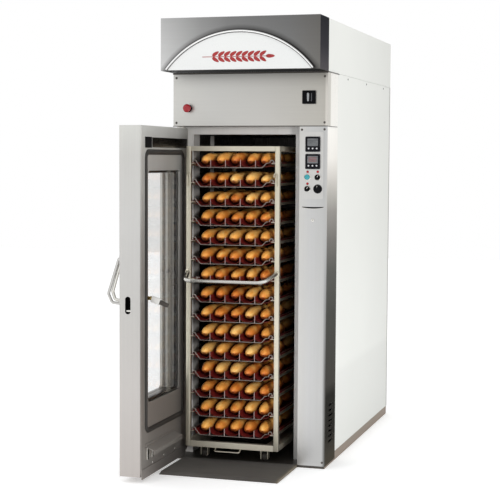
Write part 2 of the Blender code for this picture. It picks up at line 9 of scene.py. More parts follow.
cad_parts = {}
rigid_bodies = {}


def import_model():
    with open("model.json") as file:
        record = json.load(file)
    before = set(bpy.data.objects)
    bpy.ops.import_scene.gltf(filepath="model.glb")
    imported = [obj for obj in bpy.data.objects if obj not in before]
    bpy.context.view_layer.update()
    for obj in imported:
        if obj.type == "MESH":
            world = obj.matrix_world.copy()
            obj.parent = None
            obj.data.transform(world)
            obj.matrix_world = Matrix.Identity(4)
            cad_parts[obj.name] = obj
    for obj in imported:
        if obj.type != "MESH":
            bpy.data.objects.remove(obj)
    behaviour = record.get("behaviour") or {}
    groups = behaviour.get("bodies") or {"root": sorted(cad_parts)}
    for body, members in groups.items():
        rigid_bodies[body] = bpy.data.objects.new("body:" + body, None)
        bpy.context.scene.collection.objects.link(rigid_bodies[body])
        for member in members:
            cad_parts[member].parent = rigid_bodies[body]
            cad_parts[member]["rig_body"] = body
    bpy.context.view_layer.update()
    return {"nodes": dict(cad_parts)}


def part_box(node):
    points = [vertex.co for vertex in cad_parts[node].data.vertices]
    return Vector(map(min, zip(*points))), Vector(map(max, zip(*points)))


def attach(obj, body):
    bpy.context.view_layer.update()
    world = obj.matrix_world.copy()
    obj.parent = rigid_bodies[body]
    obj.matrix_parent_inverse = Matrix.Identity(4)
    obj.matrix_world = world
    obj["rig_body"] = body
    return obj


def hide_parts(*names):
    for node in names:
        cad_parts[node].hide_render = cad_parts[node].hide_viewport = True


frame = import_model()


SCENE = bpy.context.scene
COL = SCENE.collection
NODES = frame["nodes"]
F = -0.81                    # front plane of the cabinet


def Y(depth):
    """Row-frame y of a depth measured from the cabinet's front plane."""
    return F + depth


# =========================================================== colour, nodes
def lin(c):
    c = c / 255.0
    return c / 12.92 if c <= 0.04045 else ((c + 0.055) / 1.055) ** 2.4


def rgb(r, g=None, b=None):
    if g is None:
        r, g, b = r, r, r
    return (lin(r), lin(g), lin(b), 1.0)


class Graph:
    """A material with its node tree, built a node at a time."""

    def __init__(self, name):
        self.mat = bpy.data.materials.new(name)
        self.mat.use_nodes = True
        self.tree = self.mat.node_tree
        self.bsdf = self.tree.nodes["Principled BSDF"]
        self._coord = None

    def add(self, kind, **props):
        node = self.tree.nodes.new(kind)
        for key, value in props.items():
            setattr(node, key, value)
        return node

    def put(self, socket, value):
        if isinstance(value, bpy.types.NodeSocket):
            self.tree.links.new(value, socket)
        else:
            socket.default_value = value

    def set(self, name, value):
        self.put(self.bsdf.inputs[name], value)

    def coord(self):
        if self._coord is None:
            self._coord = self.add("ShaderNodeTexCoord").outputs["Object"]
        return self._coord

    def axis(self, index):
        if not hasattr(self, "_split"):
            self._split = self.add("ShaderNodeSeparateXYZ")
            self.put(self._split.inputs[0], self.coord())
        return self._split.outputs[index]

    def mapped(self, scale=(1, 1, 1), location=(0, 0, 0), rotation=(0, 0, 0)):
        node = self.add("ShaderNodeMapping")
        self.put(node.inputs["Vector"], self.coord())
        node.inputs["Scale"].default_value = scale
        node.inputs["Location"].default_value = location
        node.inputs["Rotation"].default_value = rotation
        return node.outputs[0]

    def noise(self, scale=(1, 1, 1), detail=3.0, rough=0.55, location=(0, 0, 0)):
        node = self.add("ShaderNodeTexNoise")
        self.put(node.inputs["Vector"], self.mapped(scale, location))
        node.inputs["Scale"].default_value = 1.0
        node.inputs["Detail"].default_value = detail
        node.inputs["Roughness"].default_value = rough
        return node.outputs["Fac"]

    def voronoi(self, scale, feature="F1"):
        node = self.add("ShaderNodeTexVoronoi", feature=feature)
        self.put(node.inputs["Vector"], self.mapped(scale))
        node.inputs["Scale"].default_value = 1.0
        return node.outputs["Distance"]

    def remap(self, value, a, b, c, d):
        node = self.add("ShaderNodeMapRange")
        self.put(node.inputs[0], value)
        for i, v in enumerate((a, b, c, d)):
            node.inputs[i + 1].default_value = v
        return node.outputs[0]

    def math(self, op, a, b=0.0):
        node = self.add("ShaderNodeMath", operation=op)
        self.put(node.inputs[0], a)
        self.put(node.inputs[1], b)
        return node.outputs[0]

    def ramp(self, value, stops, smooth=False):
        node = self.add("ShaderNodeValToRGB")
        node.color_ramp.interpolation = 'EASE' if smooth else 'LINEAR'
        elements = node.color_ramp.elements
        while len(elements) > 1:
            elements.remove(elements[-1])
        elements[0].position, elements[0].color = stops[0]
        for position, colour in stops[1:]:
            elements.new(position).color = colour
        self.put(node.inputs[0], value)
        return node.outputs[0]

    def along(self, index, stops, smooth=False):
        """Colour by position along a row axis; stops are (metres, colour)."""
        low, high = stops[0][0], stops[-1][0]
        value = self.remap(self.axis(index), low, high, 0.0, 1.0)
        return self.ramp(value, [((p - low) / (high - low), c)
                                 for p, c in stops], smooth)

    def mix(self, fac, a, b, mode='MIX'):
        node = self.add("ShaderNodeMix", data_type='RGBA', blend_type=mode)
        node.clamp_result = False
        self.put(node.inputs[0], fac)
        self.put(node.inputs[6], a)
        self.put(node.inputs[7], b)
        return node.outputs[2]

    def bump(self, height, strength=0.1, distance=0.001):
        node = self.add("ShaderNodeBump")
        node.inputs["Strength"].default_value = strength
        node.inputs["Distance"].default_value = distance
        self.put(node.inputs["Height"], height)
        self.put(self.bsdf.inputs["Normal"], node.outputs[0])
        return node


def steel(name, colour, grain=2, rough=0.30, metal=1.0, contrast=0.10,
          smudge=0.10, bump=0.03, aniso=0.0, gloss=None):
    """Brushed stainless sheet. colour is one colour, or a function of the
    graph that gives a colour socket; grain is the row axis it runs along."""
    g = Graph(name)
    scale = [900.0, 900.0, 900.0]
    scale[grain] = 6.0
    fine = g.noise(tuple(scale), 2.0, 0.6)
    wide = g.noise(tuple(s / 9 if i != grain else 1.4
                         for i, s in enumerate(scale)), 2.0, 0.5)
    patch = g.noise((2.3, 2.3, 1.9), 3.0, 0.55, (3.1, 1.7, 0.4))
    base = colour(g) if callable(colour) else colour
    shade = g.math('ADD', g.remap(fine, 0.25, 0.75, 1 - contrast / 2,
                                  1 + contrast / 2),
                   g.remap(wide, 0.3, 0.7, -contrast / 4, contrast / 4))
    shade = g.math('MULTIPLY', shade,
                   g.remap(patch, 0.3, 0.7, 1 - smudge / 2, 1 + smudge / 2))
    comb = g.add("ShaderNodeCombineXYZ")
    for i in range(3):
        g.put(comb.inputs[i], shade)
    g.set("Base Color", g.mix(1.0, base, comb.outputs[0], 'MULTIPLY'))
    g.set("Metallic", metal)
    g.set("Roughness", g.math('ADD', g.remap(fine, 0.2, 0.8, rough - 0.05,
                                             rough + 0.06),
                              g.remap(patch, 0.3, 0.7, -0.03, 0.03)))
    if aniso:
        g.set("Anisotropic", aniso)
    if gloss is not None:
        g.set("Specular IOR Level", gloss)
        g.set("IOR", 1.0 + gloss)
    g.bump(g.math('ADD', fine, g.math('MULTIPLY', wide, 0.5)), bump, 0.0006)
    return g.mat


def painted(name, colour, rough=0.4, peel=0.04, variation=0.03, scale=260.0,
            coat=0.0, gloss=None):
    """Sprayed or moulded surface with fine orange peel."""
    g = Graph(name)
    cell = g.noise((scale, scale, scale), 2.0, 0.5)
    patch = g.noise((1.7, 1.7, 1.7), 2.0, 0.5, (0.3, 5.1, 2.2))
    base = colour(g) if callable(colour) else colour
    shade = g.remap(patch, 0.3, 0.7, 1 - variation, 1 + variation)
    comb = g.add("ShaderNodeCombineXYZ")
    for i in range(3):
        g.put(comb.inputs[i], shade)
    g.set("Base Color", g.mix(1.0, base, comb.outputs[0], 'MULTIPLY'))
    g.set("Roughness", g.remap(cell, 0.3, 0.7, rough - 0.04, rough + 0.04))
    if coat:
        g.set("Coat Weight", coat)
        g.set("Coat Roughness", 0.12)
    if gloss is not None:
        g.set("Specular IOR Level", gloss)
        g.set("IOR", 1.0 + gloss)
    g.bump(cell, peel, 0.0005)
    return g.mat


# ============================================================== materials
ARCH_R_X, ARCH_Z0, ARCH_Z1 = 0.385, 2.040, 2.228
ARCH_RISE = ARCH_Z1 - ARCH_Z0
ARCH_R = (ARCH_R_X ** 2 + ARCH_RISE ** 2) / (2 * ARCH_RISE)
ARCH_CZ = ARCH_Z1 - ARCH_R


def arch_tube_painted_sheen(g):
    """Painted highlight and painted reflection: a bright crown with dark edges
    across the round polished tube, set by distance from the arch centre.
    """
    dz = g.math('SUBTRACT', g.axis(2), ARCH_CZ)
    r = g.math('SQRT', g.math('ADD', g.math('MULTIPLY', g.axis(0), g.axis(0)),
                              g.math('MULTIPLY', dz, dz)))
    t = g.remap(r, ARCH_R - 0.009, ARCH_R + 0.009, 0.0, 1.0)
    return g.ramp(t, [(0.0, rgb(70, 68, 66)), (0.16, rgb(120, 118, 116)),
                      (0.34, rgb(246)), (0.55, rgb(252)),
                      (0.70, rgb(128, 126, 124)), (0.84, rgb(34, 33, 32)),
                      (1.0, rgb(24, 23, 22))])


def canopy_painted_shading(g):
    # painted shading: the front sheet darkens from left to right and toward the
    # top
    across = g.along(0, [(-0.418, rgb(212)), (-0.34, rgb(198)),
                         (-0.20, rgb(168)), (-0.06, rgb(146)),
                         (0.08, rgb(138)), (0.25, rgb(130)),
                         (0.418, rgb(120, 118, 115))])
    up = g.along(2, [(2.034, rgb(255)), (2.16, rgb(246)), (2.30, rgb(230))])
    base = g.mix(1.0, across, up, 'MULTIPLY')
    # painted shadow: a soft dark band on the sheet just outside the arch tube,
    # where the tube would throw its shadow
    dz = g.math('SUBTRACT', g.axis(2), ARCH_CZ)
    r = g.math('SQRT', g.math('ADD', g.math('MULTIPLY', g.axis(0), g.axis(0)),
                              g.math('MULTIPLY', dz, dz)))
    arch_tube_shadow = g.remap(r, ARCH_R + 0.004, ARCH_R + 0.034, 0.75, 0.0)
    return g.mix(arch_tube_shadow, base, rgb(38, 37, 36))


M_CANOPY = steel("canopy_steel", canopy_painted_shading, grain=0, rough=0.34,
                 contrast=0.06, smudge=0.05)
# painted reflection: the canopy's side return gets a dark flat colour, darker
# toward the top, in place of the dark reflection its steel shows
M_CANOPY_SIDE = painted(
    "canopy_side_painted_reflection", lambda g: g.along(2, [(2.034, rgb(84, 81, 84)),
                                            (2.15, rgb(58, 57, 61)),
                                            (2.30, rgb(44, 44, 47))]),
    rough=0.42, gloss=0.03)
# painted shading: the housing front darkens toward the right and toward the top
# under the canopy, with a painted highlight strip along its right edge
M_UPPER = steel(
    "upper_steel", lambda g: g.mix(1.0, g.along(
        0, [(-0.415, rgb(214, 213, 209)), (-0.2, rgb(208, 207, 204)),
            (0.1, rgb(200, 198, 194)), (0.38, rgb(190, 187, 180)),
            (0.400, rgb(188, 184, 177)), (0.403, rgb(214, 210, 203)),
            (0.415, rgb(216, 212, 206))]),
        g.along(2, [(1.757, rgb(255)), (1.95, rgb(250)), (2.02, rgb(236)),
                    (2.034, rgb(226))]), 'MULTIPLY'),
    grain=0, rough=0.36, contrast=0.05, smudge=0.05)
M_WRAP_LIGHT = steel(
    "housing_return_steel", lambda g: g.along(
        1, [(Y(0.0), rgb(202, 199, 191)), (Y(0.056), rgb(204, 200, 192)),
            (Y(0.062), rgb(246, 244, 238)), (Y(0.22), rgb(250, 248, 243))]),
    grain=2, rough=0.30, contrast=0.04)


def column_painted_shading(g):
    # painted shade: daylight falls off down the post's right edge, so the post
    # darkens toward that edge and the edge darkens toward the floor
    body = g.along(0, [(0.268, rgb(206, 205, 202)), (0.33, rgb(200)),
                       (0.39, rgb(194, 194, 193)), (0.402, rgb(190))])
    edge = g.along(2, [(0.0, rgb(88, 87, 84)), (0.45, rgb(96, 95, 93)),
                       (0.85, rgb(140)), (1.15, rgb(182)),
                       (1.40, rgb(198, 197, 194)), (1.76, rgb(200))])
    t = g.remap(g.axis(0), 0.398, 0.4125, 0.0, 1.0)
    return g.mix(t, body, edge)


M_COLUMN = steel("column_steel", column_painted_shading, grain=2, rough=0.34,
                 contrast=0.05, smudge=0.04)
# painted reflection: the column's right return is a flat diffuse colour, almost
# black at the foot and almost white at the top, in place of what its steel
# reflects
M_COLUMN_SIDE = steel(
    "column_return_painted_reflection", lambda g: g.along(
        2, [(0.0, rgb(74, 68, 58)), (0.09, rgb(60, 57, 50)),
            (0.16, rgb(40, 38, 34)), (0.37, rgb(38, 37, 33)),
            (0.43, rgb(66, 64, 60)), (0.80, rgb(74, 74, 70)),
            (1.02, rgb(92, 92, 88)), (1.18, rgb(120, 117, 113)),
            (1.32, rgb(150, 147, 142)), (1.42, rgb(184, 181, 175)),
            (1.50, rgb(212, 208, 202)), (1.60, rgb(236, 233, 227)),
            (1.76, rgb(244, 242, 237))]),
    grain=2, rough=0.30, contrast=0.06, metal=0.0, gloss=0.05)
M_FRAME = steel("door_frame_steel", rgb(190, 189, 188), grain=2, rough=0.34,
                contrast=0.07, metal=0.45, gloss=0.2)
M_FLOOR_PAN = steel("chamber_floor_pan", rgb(74, 70, 66), grain=0, rough=0.4,
                    contrast=0.2, smudge=0.3, metal=0.5)
# painted shade: the chamber lining is kept dark to stand in for the shade deep
# in the chamber
M_LINER = steel("chamber_lining", rgb(84, 82, 80), grain=2, rough=0.26,
                contrast=0.14, smudge=0.35, metal=0.6)
# painted shade: the white panels darken toward the back. They are also a little
# darker below half a metre.
M_WHITE = painted(
    "off_white_panel", lambda g: g.mix(1.0, g.along(
        1, [(Y(0.22), rgb(232, 233, 228)), (Y(0.9), rgb(226, 227, 222)),
            (Y(1.62), rgb(214, 215, 210))]),
        g.along(2, [(0.05, rgb(240)), (0.45, rgb(246)), (0.50, rgb(254)),
                    (2.3, rgb(252))]), 'MULTIPLY'),
    rough=0.36, variation=0.012)
M_REAR = steel("rear_panel_steel", rgb(150, 149, 146), grain=2, rough=0.42)
M_PLINTH = painted("plinth_paint", rgb(124, 108, 92), rough=0.5,
                   variation=0.06)
M_SIGN = painted("sign_white", rgb(226, 227, 226), rough=0.30, variation=0.01,
                 coat=0.3)
M_MOTIF = painted("motif_red", rgb(158, 38, 40), rough=0.35, variation=0.05)
M_CHROME = steel("polished_steel", rgb(224, 222, 216), grain=0, rough=0.12,
                 contrast=0.03, smudge=0.06, bump=0.01)
M_ARCH = steel("arch_tube_steel", arch_tube_painted_sheen, grain=0, rough=0.22,
               contrast=0.03, smudge=0.03, bump=0.01)
M_RACK = steel("rack_satin_steel", rgb(214, 208, 190), grain=2, rough=0.36,
               contrast=0.10, smudge=0.16, metal=0.85)
M_RACK_X = steel("rack_satin_steel_cross", rgb(206, 200, 184), grain=0,
                 rough=0.36, contrast=0.10, smudge=0.16, metal=0.85)
# painted shade and painted highlight: the push bar is dark on its underside with
# a bright band just above its middle
M_BAR = steel(
    "push_bar_steel", lambda g: g.along(
        2, [(0.954, rgb(96, 94, 92)), (0.962, rgb(140, 138, 134)),
            (0.970, rgb(206, 204, 198)), (0.976, rgb(240, 238, 232)),
            (0.990, rgb(214, 212, 206)), (1.010, rgb(200, 196, 188))]),
    grain=0, rough=0.26, contrast=0.05)
M_WIRE = steel("tray_wire", rgb(150, 142, 136), grain=0, rough=0.30,
               contrast=0.05)
M_PRONG = steel("tray_prong", rgb(206, 184, 182), grain=2, rough=0.30,
                contrast=0.04)
M_BLACK = painted("black_moulding", rgb(22, 22, 24), rough=0.35, scale=900,
                  gloss=0.15)
M_BEZEL = painted("controller_bezel", rgb(30, 30, 34), rough=0.32, scale=900,
                  gloss=0.15)
M_RUBBER = painted("seal_rubber", rgb(46, 43, 40), rough=0.6, peel=0.15,
                   scale=500, variation=0.06)
M_RUBBER_DARK = painted("dark_rubber", rgb(24, 23, 22), rough=0.65, peel=0.15,
                        scale=500)
M_RED = painted("red_mushroom", rgb(158, 22, 34), rough=0.26, coat=0.25,
                scale=700)
M_SCREW = steel("screw_head_steel", rgb(96, 92, 88), grain=0, rough=0.35,
                contrast=0.1)
M_GREY = painted("grey_moulding", rgb(158, 160, 162), rough=0.35, scale=800)
M_LIGHT_GREY = painted("light_grey_key", rgb(205, 205, 208), rough=0.3,
                       scale=800)
M_BRASS = steel("turned_brass", rgb(186, 160, 104), grain=0, rough=0.26,
                contrast=0.05)
M_TREAD = painted("caster_tread", rgb(58, 54, 50), rough=0.6, peel=0.2,
                  scale=400)
M_CAST = painted("blower_casting", rgb(120, 120, 118), rough=0.5, peel=0.3,
                 scale=300)
M_LABEL_WHITE = painted("white_nylon", rgb(226, 224, 220), rough=0.4,
                        scale=500)
M_DARK_GRIP = painted("dark_brown_grip", rgb(58, 52, 46), rough=0.5,
                      scale=400)
M_RAMP = steel(
    "ramp_steel", lambda g: g.mix(g.noise((6, 14, 4), 3.0), g.along(
        0, [(-0.352, rgb(116, 113, 109)), (-0.1, rgb(100, 97, 94)),
            (0.12, rgb(90, 87, 84)), (0.25, rgb(104, 100, 94)),
            (0.2675, rgb(150, 138, 116))]),
        rgb(98, 95, 91)),
    grain=0, rough=0.42, contrast=0.22, smudge=0.25, metal=0.15, gloss=0.15)


def lens(name, colour, glow=0.0):
    g = Graph(name)
    cell = g.voronoi((700, 700, 700))
    g.set("Base Color", g.mix(g.remap(cell, 0.0, 0.8, 0.0, 0.35), colour,
                              tuple(min(1.0, c * 1.6) for c in colour[:3])
                              + (1.0,)))
    g.set("Roughness", 0.16)
    g.set("Coat Weight", 0.6)
    g.bump(cell, 0.08, 0.0005)
    if glow:
        g.set("Emission Color", colour)
        g.set("Emission Strength", glow)
    return g.mat


M_TEAL = lens("teal_lens", rgb(30, 138, 148), 0.04)
M_LED = lens("red_lens", rgb(176, 30, 36), 0.03)


def display():
    g = Graph("display_window")
    bands = g.noise((30, 30, 160), 1.0)
    g.set("Base Color", g.ramp(bands, [(0.3, rgb(84, 86, 90)),
                                       (0.7, rgb(112, 114, 116))]))
    g.set("Roughness", g.remap(g.noise((90, 90, 90)), 0.3, 0.7, 0.10, 0.18))
    g.set("Coat Weight", 0.5)
    return g.mat


M_DISPLAY = display()


def glass():
    g = Graph("door_glass")
    smear = g.noise((7, 7, 3), 4.0, 0.6)
    g.set("Base Color", g.mix(g.remap(smear, 0.4, 0.8, 0.0, 0.5),
                              rgb(254, 254, 254), rgb(249, 250, 249)))
    g.set("Roughness", g.remap(smear, 0.35, 0.75, 0.0, 0.03))
    g.set("Transmission Weight", 1.0)
    g.set("IOR", 1.16)
    return g.mat


M_GLASS = glass()


def tray_coat():
    g = Graph("tray_coating")
    holes = g.voronoi((210, 210, 210))
    dots = g.remap(holes, 0.20, 0.34, 0.0, 1.0)
    patch = g.noise((24, 9, 24), 4.0, 0.6)
    coat = g.ramp(patch, [(0.3, rgb(92, 22, 24)), (0.55, rgb(118, 34, 32)),
                          (0.8, rgb(70, 24, 20))])
    g.set("Base Color", g.mix(dots, rgb(24, 10, 9), coat))
    g.set("Metallic", 0.25)
    g.set("Roughness", g.remap(patch, 0.3, 0.7, 0.30, 0.48))
    g.bump(dots, 0.35, 0.001)
    return g.mat


M_COAT = tray_coat()


def crust():
    """Baked crust: golden where the score opened, brown on the shoulders,
    dark on the underside and flanks. The flank darkening is painted shade; the
    dark underside is partly bake colour and partly painted shade. The tone and
    score values are painted per vertex."""
    g = Graph("baked_crust")
    tone = g.add("ShaderNodeAttribute", attribute_name="tone").outputs["Fac"]
    score = g.add("ShaderNodeAttribute", attribute_name="score").outputs["Fac"]
    underside_bake_and_flank_shade = g.add("ShaderNodeAttribute", attribute_name="underside_bake_and_flank_shade").outputs["Fac"]
    blotch = g.noise((34, 26, 34), 5.0, 0.62)
    fine = g.noise((260, 260, 260), 4.0, 0.65)
    value = g.math('ADD', g.math('MULTIPLY', blotch, 0.55),
                   g.math('MULTIPLY', tone, 0.62))
    skin = g.ramp(value, [(0.18, rgb(112, 46, 16)), (0.36, rgb(172, 84, 30)),
                          (0.54, rgb(206, 122, 48)), (0.72, rgb(224, 158, 74)),
                          (0.95, rgb(240, 200, 124))])
    speck = g.ramp(fine, [(0.30, rgb(200)), (0.55, rgb(252)),
                          (0.8, rgb(255))])
    skin = g.mix(0.6, skin, speck, 'MULTIPLY')
    skin = g.mix(g.math('MULTIPLY', score, 0.8), skin, rgb(240, 192, 108))
    # painted shade on the flanks and underside, the underside partly its bake
    # colour
    skin = g.mix(g.math('MULTIPLY', underside_bake_and_flank_shade, 0.95), skin, rgb(84, 28, 14))
    g.set("Base Color", skin)
    g.set("Roughness", g.remap(fine, 0.3, 0.7, 0.36, 0.55))
    g.set("Specular IOR Level", 0.45)
    g.set("Coat Weight", 0.15)
    g.set("Coat Roughness", 0.35)
    g.bump(g.math('ADD', g.math('MULTIPLY', blotch, 0.6), fine), 0.30, 0.0015)
    return g.mat


M_CRUST = crust()


def door_face_painted_shading(g):
    # painted shade: the door face is darker toward the bottom and lighter toward
    # the top
    return g.along(2, [(0.03, rgb(184, 178, 174)), (0.45, rgb(192, 188, 185)),
                       (0.85, rgb(194, 192, 189)), (1.25, rgb(204, 203, 201)),
                       (1.60, rgb(208, 207, 204)), (1.75, rgb(220, 220, 216))])


M_DOOR = steel("door_steel", door_face_painted_shading, grain=2, rough=0.34,
               contrast=0.05, smudge=0.05)


def door_inner_painted_shading(g):
    # painted shade: the inner face is darker toward the bottom and lighter
    # toward the top
    base = g.along(2, [(0.03, rgb(136, 130, 126)), (0.10, rgb(150, 145, 140)),
                       (0.30, rgb(146, 140, 134)), (0.60, rgb(138, 133, 128)),
                       (0.95, rgb(150, 146, 141)), (1.30, rgb(178, 176, 172)),
                       (1.60, rgb(196, 195, 191)), (1.75, rgb(222, 222, 218))])
    # painted shade: darker towards the hinge side, where the casing shades it
    depth = g.along(1, [(Y(-0.585), rgb(255)), (Y(-0.30), rgb(238)),
                        (Y(-0.10), rgb(226)), (Y(0.09), rgb(204))])
    return g.mix(1.0, base, depth, 'MULTIPLY')


M_DOOR_IN = steel("door_inner_steel", door_inner_painted_shading, grain=2, rough=0.40,
                  contrast=0.08, smudge=0.14, metal=0.35, gloss=0.25)
# light and dark bands across the reveal's depth; painted shade makes the reveal
# darker toward the bottom
M_REVEAL = steel(
    "window_reveal_steel", lambda g: g.mix(1.0, g.along(
        0, [(-0.478, rgb(196, 195, 192)), (-0.468, rgb(206, 204, 200)),
            (-0.463, rgb(120, 116, 112)), (-0.452, rgb(104, 100, 96)),
            (-0.446, rgb(168, 166, 162)), (-0.438, rgb(172, 170, 166)),
            (-0.432, rgb(96, 92, 88)), (-0.414, rgb(110, 106, 101)),
            (-0.405, rgb(140, 137, 132)), (-0.370, rgb(150, 146, 140))]),
        g.along(2, [(0.385, rgb(208)), (0.8, rgb(226)), (1.25, rgb(250)),
                    (1.53, rgb(255))]), 'MULTIPLY'),
    grain=2, rough=0.30, contrast=0.14, smudge=0.25)
# painted shade: dark colour for the band across the top of the door's inner face
M_DOOR_TOP_SHADE = steel("door_top_painted_shade", rgb(70, 64, 58), grain=1, rough=0.25,
                    contrast=0.25, smudge=0.3)


# =========================================================== mesh helpers
def obj_from(name, mesh, mats, body, replaces=()):
    obj = bpy.data.objects.new(name, mesh)
    COL.objects.link(obj)
    for m in (mats if isinstance(mats, (list, tuple)) else [mats]):
        mesh.materials.append(m)
    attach(obj, body)
    if replaces:
        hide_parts(*((replaces,) if isinstance(replaces, str)
                           else replaces))
    return obj


def smooth(mesh, angle=40):
    mesh.shade_smooth()
    mesh.set_sharp_from_angle(angle=math.radians(angle))


def to_mesh(bm, name, angle=40):
    mesh = bpy.data.meshes.new(name)
    bmesh.ops.recalc_face_normals(bm, faces=bm.faces)
    bm.to_mesh(mesh)
    bm.free()
    smooth(mesh, angle)
    return mesh


def add_box(bm, x, y, z, bevel=0.0, segments=2, mat=0):
    made = bmesh.ops.create_cube(bm, size=1.0)
    verts = made["verts"]
    bmesh.ops.scale(bm, vec=(x[1] - x[0], y[1] - y[0], z[1] - z[0]),
                    verts=verts)
    bmesh.ops.translate(bm, vec=((x[0] + x[1]) / 2, (y[0] + y[1]) / 2,
                                 (z[0] + z[1]) / 2), verts=verts)
    faces = {f for v in verts for f in v.link_faces}
    for f in faces:
        f.material_index = mat
    if bevel:
        edges = {e for v in verts for e in v.link_edges}
        out = bmesh.ops.bevel(bm, geom=list(edges), offset=bevel,
                              segments=segments, profile=0.5,
                              affect='EDGES')
        for f in out["faces"]:
            f.material_index = mat


def add_tube(bm, points, radius, sides=10, mat=0, closed=False, caps=True,
             radii=None):
    """Round bar along points, its section carried along without twist."""
    pts = [Vector(p) for p in points]
    count = len(pts)
    rings = []
    previous = None
    for i, p in enumerate(pts):
        if closed:
            t = (pts[(i + 1) % count] - pts[i - 1]).normalized()
        elif i == 0:
            t = (pts[1] - p).normalized()
        elif i == count - 1:
            t = (p - pts[i - 1]).normalized()
        else:
            t = ((pts[i + 1] - p).normalized()
                 + (p - pts[i - 1]).normalized()).normalized()
        if previous is None:
            ref = Vector((0, 0, 1)) if abs(t.z) < 0.9 else Vector((1, 0, 0))
            u = t.cross(ref).normalized()
        else:
            u = (previous - t * previous.dot(t)).normalized()
        previous = u
        v = t.cross(u)
        r = radii[i] if radii else radius
        rings.append([bm.verts.new(p + (u * math.cos(a) + v * math.sin(a)) * r)
                      for a in (math.tau * k / sides for k in range(sides))])
    for i in range(count if closed else count - 1):
        a, b = rings[i], rings[(i + 1) % count]
        for k in range(sides):
            f = bm.faces.new((a[k], a[(k + 1) % sides],
                              b[(k + 1) % sides], b[k]))
            f.material_index = mat
            f.smooth = True
    if caps and not closed:
        for ring in (rings[0][::-1], rings[-1]):
            f = bm.faces.new(ring)
            f.material_index = mat


def add_lathe(bm, profile, location, axis='Z', steps=24, mat=0):
    """Turned shape: profile of (radius, height along axis)."""
    turn = {'Z': Matrix.Identity(3), 'X': Matrix.Rotation(math.pi / 2, 3, 'Y'),
            '-Y': Matrix.Rotation(math.pi / 2, 3, 'X'),
            'Y': Matrix.Rotation(-math.pi / 2, 3, 'X'),
            '-X': Matrix.Rotation(-math.pi / 2, 3, 'Y')}[axis]
    at = Vector(location)
    rings = []
    for r, h in profile:
        if r < 1e-7:
            rings.append([bm.verts.new(at + turn @ Vector((0, 0, h)))])
        else:
            rings.append([bm.verts.new(at + turn @ Vector(
                (r * math.cos(a), r * math.sin(a), h)))
                for a in (math.tau * k / steps for k in range(steps))])
    for a, b in zip(rings, rings[1:]):
        for k in range(steps):
            quad = [a[k % len(a)], a[(k + 1) % len(a)],
                    b[(k + 1) % len(b)], b[k % len(b)]]
            quad = list(dict.fromkeys(quad))
            if len(quad) > 2:
                f = bm.faces.new(quad)
                f.material_index = mat
                f.smooth = True
    for ring, flip in ((rings[0], False), (rings[-1], True)):
        if len(ring) > 1:
            f = bm.faces.new(ring[::-1] if flip else ring)
            f.material_index = mat


def add_plate(bm, outline, plane, d0, d1, mat=0):
    """Prism: outline of (u, v) extruded between two depths."""
    def place(u, v, d):
        return {'XZ': (u, d, v), 'YZ': (d, u, v), 'XY': (u, v, d)}[plane]
    low = [bm.verts.new(place(u, v, d0)) for u, v in outline]
    high = [bm.verts.new(place(u, v, d1)) for u, v in outline]
    count = len(outline)
    made = [bm.faces.new(low[::-1]), bm.faces.new(high)]
    for k in range(count):
        made.append(bm.faces.new((low[k], low[(k + 1) % count],
                                  high[(k + 1) % count], high[k])))
    for f in made:
        f.material_index = mat
    return made


def add_frame_plate(bm, outer, inner, plane, d0, d1, mat=0):
    """Flat ring: two outlines with the same number of points."""
    def place(u, v, d):
        return {'XZ': (u, d, v), 'YZ': (d, u, v), 'XY': (u, v, d)}[plane]
    loops = [[bm.verts.new(place(u, v, d)) for u, v in line]
             for line in (outer, inner) for d in (d0, d1)]
    o0, o1, i0, i1 = loops
    n = len(outer)
    for k in range(n):
        j = (k + 1) % n
        for quad in ((o0[k], o0[j], o1[j], o1[k]), (i0[j], i0[k], i1[k], i1[j]),
                     (o1[k], o1[j], i1[j], i1[k]),
                     (o0[j], o0[k], i0[k], i0[j])):
            bm.faces.new(quad).material_index = mat


def arc_points(centre, radius, a0, a1, steps):
    return [(centre[0] + radius * math.cos(a0 + (a1 - a0) * k / steps),
             centre[1] + radius * math.sin(a0 + (a1 - a0) * k / steps))
            for k in range(steps + 1)]


def rounded_rect(u0, u1, v0, v1, r, steps=6):
    pts = []
    for (cu, cv, a) in ((u1 - r, v0 + r, -90), (u1 - r, v1 - r, 0),
                        (u0 + r, v1 - r, 90), (u0 + r, v0 + r, 180)):
        a = math.radians(a)
        pts += arc_points((cu, cv), r, a, a + math.pi / 2, steps)
    return pts


def bent(corners, radius, steps=6):
    """Polyline with each bend rounded."""
    pts = [Vector(c) for c in corners]
    out = [pts[0]]
    for a, here, b in zip(pts, pts[1:], pts[2:]):
        u, v = (a - here).normalized(), (b - here).normalized()
        angle = u.angle(v)
        reach = min(radius / math.tan(angle / 2), (a - here).length * 0.49,
                    (b - here).length * 0.49)
        r = reach * math.tan(angle / 2)
        centre = here + (u + v).normalized() * (r / math.sin(angle / 2))
        p0, p1 = here + u * reach - centre, here + v * reach - centre
        sweep = p0.angle(p1)
        for k in range(steps + 1):
            t = k / steps
            out.append(centre + p0 * (math.sin((1 - t) * sweep)
                                      / math.sin(sweep))
                       + p1 * (math.sin(t * sweep) / math.sin(sweep)))
    out.append(pts[-1])
    return out


def add_screw(bm, at, axis='-Y', r=0.0042, mat=0):
    add_lathe(bm, [(0.0, 0.0022), (r * 0.35, 0.0021), (r * 0.36, 0.0014),
                   (r * 0.55, 0.0014), (r * 0.56, 0.0019), (r * 0.86, 0.0011),
                   (r, 0.0002), (r, 0.0)], at, axis, 12, mat)


